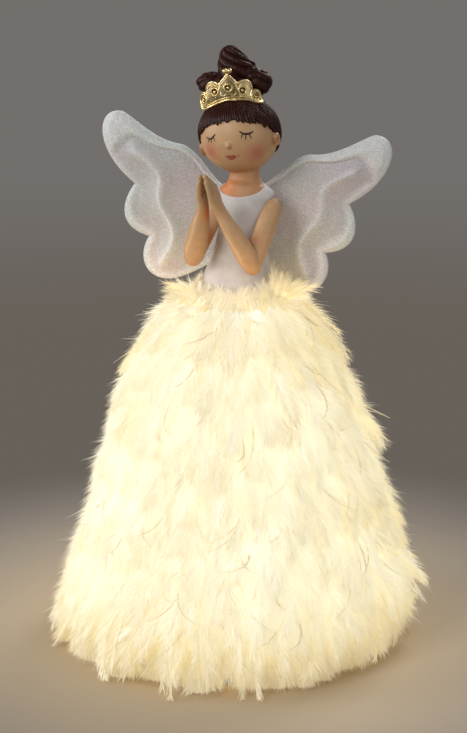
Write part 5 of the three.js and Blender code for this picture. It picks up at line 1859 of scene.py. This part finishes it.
def crown_mesh():
    reach = math.radians(CROWN_HALF_ANGLE) * CROWN_RADIUS
    aside = np.linspace(-reach, reach, CROWN_COLUMNS)
    foot = np.interp(aside, *smooth_path(CROWN_FOOT, CROWN_COLUMNS).T)
    top = np.maximum(crown_top(aside), foot + CROWN_LEAST_BAND)
    plate, lit_and_clean = crown_plate(aside, foot, top)
    peak = np.linspace(-PEAK_LINE_REACH, PEAK_LINE_REACH, PEAK_LINE_STEPS)
    parts = [
        plate,
        crown_line(aside, top + TOP_RIM_LIFT, TOP_RIM_OUT, TOP_RIM_THICKNESS, RIM_SIDES),
        crown_line(aside, foot + FOOT_RIM_LIFT, FOOT_RIM_OUT, FOOT_RIM_THICKNESS, RIM_SIDES),
        crown_line(aside, foot + FOOT_LINE_LIFT, FOOT_LINE_OUT, FOOT_LINE_THICKNESS),
        crown_line(peak, crown_top(peak) + PEAK_LINE_LIFT, PEAK_LINE_OUT, PEAK_LINE_THICKNESS),
    ]
    points, faces = joined(parts + crown_side(-1) + crown_side(1))
    shade = np.ones(len(points))
    shade[:len(lit_and_clean)] = lit_and_clean
    mesh = mesh_of("scrolled_crown", placed(CROWN_FRAME, points), faces)
    paint(mesh, "relief", shade)
    return mesh


def add_hair():
    add_piece(hair_cap(), MATERIALS["hair"], "hair", "hair_cap")
    add_piece(hair_bun(), MATERIALS["hair"], "hair", "hair_bun")
    add_piece(crown_mesh(), MATERIALS["gold"], "gold", "crown")


# Dress

TORSO_STEPS = 400
TORSO_SOFTENING = 41
DRESS_COLUMNS = 160
DRESS_ROWS = 70
DRESS_GROWTH = 0.1
NECKLINE_RISE = 59.4
NECKLINE_DIP = 5.4
NECKLINE_DIP_POWER = 2.5
NECKLINE_SLANT = 0.9
FOLD_DEPTH = 0.22
FOLD_WAVES = (9, 1.2, 2)
FOLD_FADE = (0.75, 0)
SLEEVE_SIZE = 1.6
SLEEVE_RISE = 54.5
SLEEVE_HEIGHT = 3.5
SLEEVE_POWER = 6
DRESS_EDGE = ((0.15, -0.35), (0.8, -1.2))


def torso_at(rise):
    """Half width, half depth and middle of the torso, smoothed through its sections."""
    heights, *columns = TORSO_SECTIONS.T
    fine = np.linspace(0, heights[-1], TORSO_STEPS)
    kernel = np.hanning(TORSO_SOFTENING)
    kernel /= kernel.sum()
    margin = TORSO_SOFTENING // 2
    values = []
    for column in columns:
        line = np.interp(fine, heights, column)
        before = 2 * line[0] - line[margin:0:-1]
        after = 2 * line[-1] - line[-2:-2 - margin:-1]
        padded = np.concatenate([before, line, after])
        values.append(np.interp(rise, fine, np.convolve(padded, kernel, "valid")))
    return values


def torso_points(rise, angle, grow):
    width, depth, x, y = torso_at(rise)
    return np.stack([x + (width + grow) * np.cos(angle), y + (depth + grow) * np.sin(angle),
                     FIGURE_FOOT + rise + 0 * angle], axis=-1)


def bodice_mesh():
    angle = around(DRESS_COLUMNS)
    front = 0.5 - 0.5 * np.sin(angle)
    neckline = NECKLINE_RISE - NECKLINE_DIP * front ** NECKLINE_DIP_POWER + NECKLINE_SLANT * np.cos(angle)
    share = np.linspace(0, 1, DRESS_ROWS)[:, None]
    rise = neckline * share
    fold = FOLD_DEPTH * wandering(angle, *FOLD_WAVES) * smoothstep(*FOLD_FADE, share)
    sleeve = SLEEVE_SIZE * bump(rise - SLEEVE_RISE, SLEEVE_HEIGHT) * np.abs(np.cos(angle)) ** SLEEVE_POWER
    outer = torso_points(rise, angle, DRESS_GROWTH + fold + sleeve)
    edge = [torso_points(neckline - drop, angle, growth)[None] for drop, growth in DRESS_EDGE]
    return mesh_of("bodice_dress", *loft(np.concatenate([outer] + edge)))


# Arms: radii along their length by shares of it, in millimetres

ACROSS = np.array((1.0, 0, 0))
ARM_JOINTS = ("shoulder", "elbow", "wrist", "fingertip")
ARM_VOXEL = 0.25
ARM_ROUNDS = 5
ARM_TOP_INWARD = 0.6
ARM_TOP_DROP = 1.4
ARM_TOP_RADIUS = 4.9
ELBOW_RADIUS = 4.4
LIMB_COLUMNS = 36
UPPER_STEPS = 24
UPPER_SHARES = (0, 0.3, 0.8, 1)
UPPER_RADII = (ARM_TOP_RADIUS, 5.2, 4.7, ELBOW_RADIUS)
FOREARM_STEPS = 48
FOREARM_SHARES = (0, 0.15, 0.45, 0.74, 0.88, 1)
FOREARM_RADII = np.array((ELBOW_RADIUS, 5.2, 4.5))
HAND_THICKNESS = (3.1, 2.5, 1.8)
HAND_WIDTHS = (3.5, 4.2, 4.3)
FOREARM_STOUTNESS = {1: 1.0, -1: 1.12}
KNUCKLES = 0.5
FINGERS = ((-3.1, 0.88), (-1.05, 1.0), (1.05, 0.98), (3.1, 0.85))
FINGER_ROOT = 0.4
FINGER_CLOSING = 0.62
FINGER_BOW = 0.3
FINGER_SPREAD = 0.1
FINGER_STEPS = 14
FINGER_SHARES = (0, 0.7, 1)
FINGER_RADII = (1.35, 1.2, 0.85)
FINGER_TIP = 0.9
FINGER_SIDES = 16
THUMB_PLACES = ((0.16, 2.6), (0.36, 4.4), (0.58, 4.9))
THUMB_STEPS = 12
THUMB_RADII = (1.5, 1.0)
THUMB_TIP = 1.05
TIP_COLUMNS = 18
TIP_ROWS = 12
# A painted highlight: a pale, patchy line along each arm, on the side that faces its aim
HIGHLIGHT_AIM = {1: (-0.55, -1.0, 0.45), -1: (-0.25, -1.0, 0.35)}
HIGHLIGHT_STEPS = 40
HIGHLIGHT_WIDTH = 0.9
HIGHLIGHT_STRENGTH = 0.62
HIGHLIGHT_UPPER_SHARE = 0.7
HIGHLIGHT_WANDER = 0.5
HIGHLIGHT_WANDER_PACE = 0.45
HIGHLIGHT_START = (0, 6)
HIGHLIGHT_END = (39, 30)
HIGHLIGHT_PATCHES = 0.75
HIGHLIGHT_PATCH_SIZE = 3.0
HIGHLIGHT_PATCH_SEED = 61


def limb(path, thick, wide):
    """A limb with oval sections: thick across the body, wide along the other way."""
    along = unit(np.gradient(path, axis=0))
    across = unit(ACROSS - along * along[:, :1])
    edge = np.cross(along, across)
    angle = around(LIMB_COLUMNS)[None, :, None]
    return loft(path[:, None] + thick[:, None, None] * np.cos(angle) * across[:, None]
                + wide[:, None, None] * np.sin(angle) * edge[:, None])


def painted_highlight(points, corners, side):
    """How strongly each point of a limb gets a painted highlight: a patchy pale line on the side facing the
    aim.
    """
    middle = smooth_path(corners, HIGHLIGHT_STEPS)
    gap = points[:, None] - middle[None]
    nearest = np.linalg.norm(gap, axis=-1).argmin(axis=1)
    away = gap[np.arange(len(points)), nearest]
    along = unit(np.gradient(middle, axis=0)[nearest])
    aim = np.array(HIGHLIGHT_AIM[side])
    aim = unit(aim - along * (along @ aim)[:, None])
    aside = (away * np.cross(along, aim)).sum(axis=1)
    aside = aside + HIGHLIGHT_WANDER * np.sin(HIGHLIGHT_WANDER_PACE * nearest + side)
    patchy = blended(wave(points / HIGHLIGHT_PATCH_SIZE, HIGHLIGHT_PATCH_SEED), 1, HIGHLIGHT_PATCHES)
    ends = smoothstep(*HIGHLIGHT_START, nearest) * smoothstep(*HIGHLIGHT_END, nearest)
    return HIGHLIGHT_STRENGTH * bump(aside, HIGHLIGHT_WIDTH) * ((away * aim).sum(axis=1) > 0) * patchy * ends


def hand_parts(wrist, along, edge, bow):
    """Fingers and a thumb. along goes from the wrist to the fingertips, edge to the thumb's side."""
    parts = []
    for place, reach in FINGERS:
        root = wrist + along * FINGER_ROOT + edge * place
        end = wrist + along * reach + edge * place * FINGER_CLOSING
        middle = (root + end) / 2 + bow + edge * place * FINGER_SPREAD
        radii = np.interp(np.linspace(0, 1, FINGER_STEPS), FINGER_SHARES, FINGER_RADII)
        parts.append(tube(smooth_path([root, middle, end], FINGER_STEPS), radii, FINGER_SIDES))
        parts.append(ball(end, FINGER_TIP, TIP_COLUMNS, TIP_ROWS))
    thumb = smooth_path([wrist + along * reach + edge * place for reach, place in THUMB_PLACES], THUMB_STEPS)
    parts.append(tube(thumb, np.linspace(*THUMB_RADII, THUMB_STEPS), FINGER_SIDES))
    parts.append(ball(thumb[-1], THUMB_TIP, TIP_COLUMNS, TIP_ROWS))
    return parts


def arm_mesh(name, joints, side):
    shoulder, elbow, wrist, tip = (np.array(joints[key]) + (0, 0, FIGURE_FOOT) for key in ARM_JOINTS)
    top = shoulder - (side * ARM_TOP_INWARD, 0, ARM_TOP_DROP)
    radii = np.interp(np.linspace(0, 1, UPPER_STEPS), UPPER_SHARES, UPPER_RADII)
    parts = [limb(np.linspace(top, elbow, UPPER_STEPS), radii, radii), ball(top, ARM_TOP_RADIUS),
             ball(elbow, ELBOW_RADIUS)]
    along = tip - wrist
    across = unit(ACROSS - unit(along) * unit(along)[0])
    edge = np.cross(unit(along), across)
    knuckles = wrist + along * KNUCKLES
    forearm = [elbow, (elbow + wrist) / 2, wrist, knuckles]
    share = np.linspace(0, 1, FOREARM_STEPS)
    stout = FOREARM_RADII * FOREARM_STOUTNESS[side]
    thick = np.interp(share, FOREARM_SHARES, (*stout, *HAND_THICKNESS))
    wide = np.interp(share, FOREARM_SHARES, (*stout, *HAND_WIDTHS))
    parts.append(limb(smooth_path(forearm, FOREARM_STEPS), thick, wide))
    parts += hand_parts(wrist, along, edge, across * side * FINGER_BOW)
    mesh = fused(name, parts, ARM_VOXEL, ARM_ROUNDS)

    points = points_of(mesh)
    # Painted shade in the elbow's creases, the armpit and between hand and forearm, and painted glow under the
    # elbow
    shade_and_glow_spots = (
        (blended(elbow, shoulder, 0.4) - (side * 4.0, 2, 0), 4.2, 0.95),
        (blended(elbow, wrist, 0.25) + (-side * 2, 4.0, 2.0), 4.0, 0.7),
        (shoulder - (side * 4.0, 1, 5), 4.0, 0.6),
        (wrist - across * side * 3, 4.5, 0.9),
        (elbow - (0, 1, 4.5), 3.6, 0.35),
    )
    shade_and_glow = np.zeros(len(points))
    for place, size, strength in shade_and_glow_spots:
        shade_and_glow = np.maximum(shade_and_glow, strength * bump(np.linalg.norm(points - place, axis=1), size))
    # Painted highlight along the upper arm and the forearm
    highlight = HIGHLIGHT_UPPER_SHARE * painted_highlight(points, [top, (top + elbow) / 2, elbow], side)
    highlight = np.maximum(highlight, painted_highlight(points, forearm + [tip], side))
    paint(mesh, "paint", blended(blended(SKIN, SKIN_SHADE_AND_GLOW, shade_and_glow[:, None]), SKIN_HIGHLIGHT, highlight[:, None]))
    return mesh


def add_figure():
    add_piece(bodice_mesh(), MATERIALS["dress"], "dress", "bodice")
    add_piece(arm_mesh("left_arm_cast", LEFT_ARM, 1), MATERIALS["skin"], "skin", "left_arm")
    add_piece(arm_mesh("right_arm_cast", RIGHT_ARM, -1), MATERIALS["skin"], "skin", "right_arm")


# Studio: the floor's rings are in millimetres, and every other length here is in metres

BACKDROP = (0.168, 0.158, 0.149)
SKY = (0.92, 0.96, 1.0)
SKY_STRENGTH = 0.35
FLOOR_REACHES = (74, 400, 1200, 4000, 12000)
FLOOR_COLUMNS = 96
FLOOR_LEVEL = -0.5
FLOOR_TONES = ((0.3, (0.40, 0.375, 0.345)), (0.7, (0.43, 0.405, 0.375)))
# A painted warm pool of the skirt's light on the floor near the object
FLOOR_GLOW_POOL = (0.47, 0.37, 0.255)
FLOOR_GLOW_POOL_FADE = (0.34, 0.07)
FLOOR_DUSK = (0.140, 0.121, 0.103)
FLOOR_DUSK_FADE = (0.08, 0.30)
BACKDROP_FADE = (0.6, 1.3)
STAGE_MIDDLE = (0, 0, 0.16)
STUDIO_LAMPS = (
    ("key", (-0.45, -1.35, 1.0), 0.8, 11.8, (1.0, 0.98, 0.95)),
    ("side", (-1.3, -0.45, 0.6), 0.8, 8.8, (1.0, 0.98, 0.95)),
    ("fill", (1.3, -0.6, 0.5), 1.0, 3, (1.0, 0.97, 0.94)),
    ("back", (0.3, 1.1, 1.0), 0.8, 10, (1.0, 0.98, 0.96)),
)
GLOW_COLOUR = (1.0, 0.68, 0.36)
GLOW_SIZE = 0.03
GLOW_LAMPS = (
    ((-0.040, -0.010, 0.183), (-0.030, 0.022, 0.230), 0.0040),
    ((0.040, -0.006, 0.183), (0.030, 0.022, 0.230), 0.0048),
    ((-0.014, -0.034, 0.189), (-0.006, 0.010, 0.215), 0.0022),
    ((0.016, -0.032, 0.189), (0.004, 0.010, 0.215), 0.0022),
)


def facing(place, target):
    return (Vector(target) - Vector(place)).to_track_quat("-Z", "Y").to_euler()


def add_camera():
    data = bpy.data.cameras.new("camera")
    data.lens = LENS
    data.sensor_width = SENSOR
    camera = bpy.data.objects.new("camera", data)
    camera.location = CAMERA_PLACE * MM
    camera.rotation_euler = facing(CAMERA_PLACE, CAMERA_TARGET)
    bpy.context.scene.collection.objects.link(camera)
    bpy.context.scene.camera = camera


def add_lamp(name, place, size, power, colour, target=STAGE_MIDDLE):
    data = bpy.data.lights.new(name, "AREA")
    data.shape = "DISK"
    data.size = size
    data.energy = power
    data.color = colour
    lamp = bpy.data.objects.new(name, data)
    lamp.location = place
    lamp.rotation_euler = facing(place, target)
    bpy.context.scene.collection.objects.link(lamp)
    return lamp


def add_glow():
    """The warm light that the lit skirt throws up on the figure and the wings."""
    for number, (place, target, power) in enumerate(GLOW_LAMPS):
        lamp = add_lamp(f"glow_{number + 1}", place, GLOW_SIZE, power, GLOW_COLOUR, target)
        lamp.visible_camera = False
        lamp.visible_glossy = False


def floor_material():
    """A floor with a painted warm pool of the skirt's light, that fades into the backdrop and is see-through
    from below.
    """
    shader = Shader("floor", Specular_IOR_Level=0.2)
    away = shader.node("ShaderNodeVectorMath", {0: shader.coordinates}, operation="LENGTH").outputs["Value"]
    plain = shader.ramp(shader.noise(scale=3), *FLOOR_TONES)
    # Painted light: the floor warmer near the object, as a pool of the skirt's glow
    shader.set("Base Color", shader.mix(shader.step(away, *FLOOR_GLOW_POOL_FADE), plain, FLOOR_GLOW_POOL))
    shader.rough(shader.noise(scale=40), low=0.6, high=0.75)
    dusk = shader.mix(shader.step(away, *BACKDROP_FADE), FLOOR_DUSK, BACKDROP)
    far = shader.node("ShaderNodeEmission", {"Color": dusk}).outputs["Emission"]
    near_far = {0: shader.step(away, *FLOOR_DUSK_FADE), 1: shader.surface.outputs["BSDF"], 2: far}
    top = shader.node("ShaderNodeMixShader", near_far).outputs["Shader"]
    below = shader.node("ShaderNodeNewGeometry").outputs["Backfacing"]
    clear = shader.node("ShaderNodeBsdfTransparent").outputs["BSDF"]
    whole = shader.node("ShaderNodeMixShader", {0: below, 1: top, 2: clear}).outputs["Shader"]
    shader.tree.links.new(whole, shader.tree.nodes["Material Output"].inputs["Surface"])
    return shader.material


def add_floor():
    angle = around(FLOOR_COLUMNS)
    level = np.full(FLOOR_COLUMNS, FLOOR_LEVEL)
    rings = []
    for reach in FLOOR_REACHES:
        rings.append(np.column_stack([reach * np.cos(angle), reach * np.sin(angle), level]))
    faces = grid_faces(len(FLOOR_REACHES), FLOOR_COLUMNS, True)[:, ::-1]
    mesh = mesh_of("floor", np.concatenate(rings), faces)
    mesh.materials.append(floor_material())
    floor = bpy.data.objects.new("floor", mesh)
    bpy.context.scene.collection.objects.link(floor)


def add_world():
    """A pale sky that lights the scene, while the camera and reflections see the backdrop."""
    world = bpy.data.worlds.new("studio")
    bpy.context.scene.world = world
    world.use_nodes = True
    tree = world.node_tree
    sky = tree.nodes["Background"]
    sky.inputs["Color"].default_value = (*SKY, 1)
    sky.inputs["Strength"].default_value = SKY_STRENGTH
    seen = tree.nodes.new("ShaderNodeBackground")
    seen.inputs["Color"].default_value = (*BACKDROP, 1)
    path = tree.nodes.new("ShaderNodeLightPath")
    swap = tree.nodes.new("ShaderNodeMixShader")
    share = path.outputs["Is Camera Ray"]
    for ray in ("Is Glossy Ray", "Is Transmission Ray"):
        both = tree.nodes.new("ShaderNodeMath")
        both.use_clamp = True
        tree.links.new(share, both.inputs[0])
        tree.links.new(path.outputs[ray], both.inputs[1])
        share = both.outputs["Value"]
    for place, output in enumerate((share, sky.outputs["Background"], seen.outputs["Background"])):
        tree.links.new(output, swap.inputs[place])
    tree.links.new(swap.outputs["Shader"], tree.nodes["World Output"].inputs["Surface"])


def add_studio():
    add_floor()
    add_world()
    for lamp in STUDIO_LAMPS:
        add_lamp(*lamp)
    add_glow()
    bpy.context.scene.view_settings.view_transform = "Standard"


add_camera()
dress_solids()
add_feathers()
add_wings()
add_head()
add_hair()
add_figure()
add_studio()
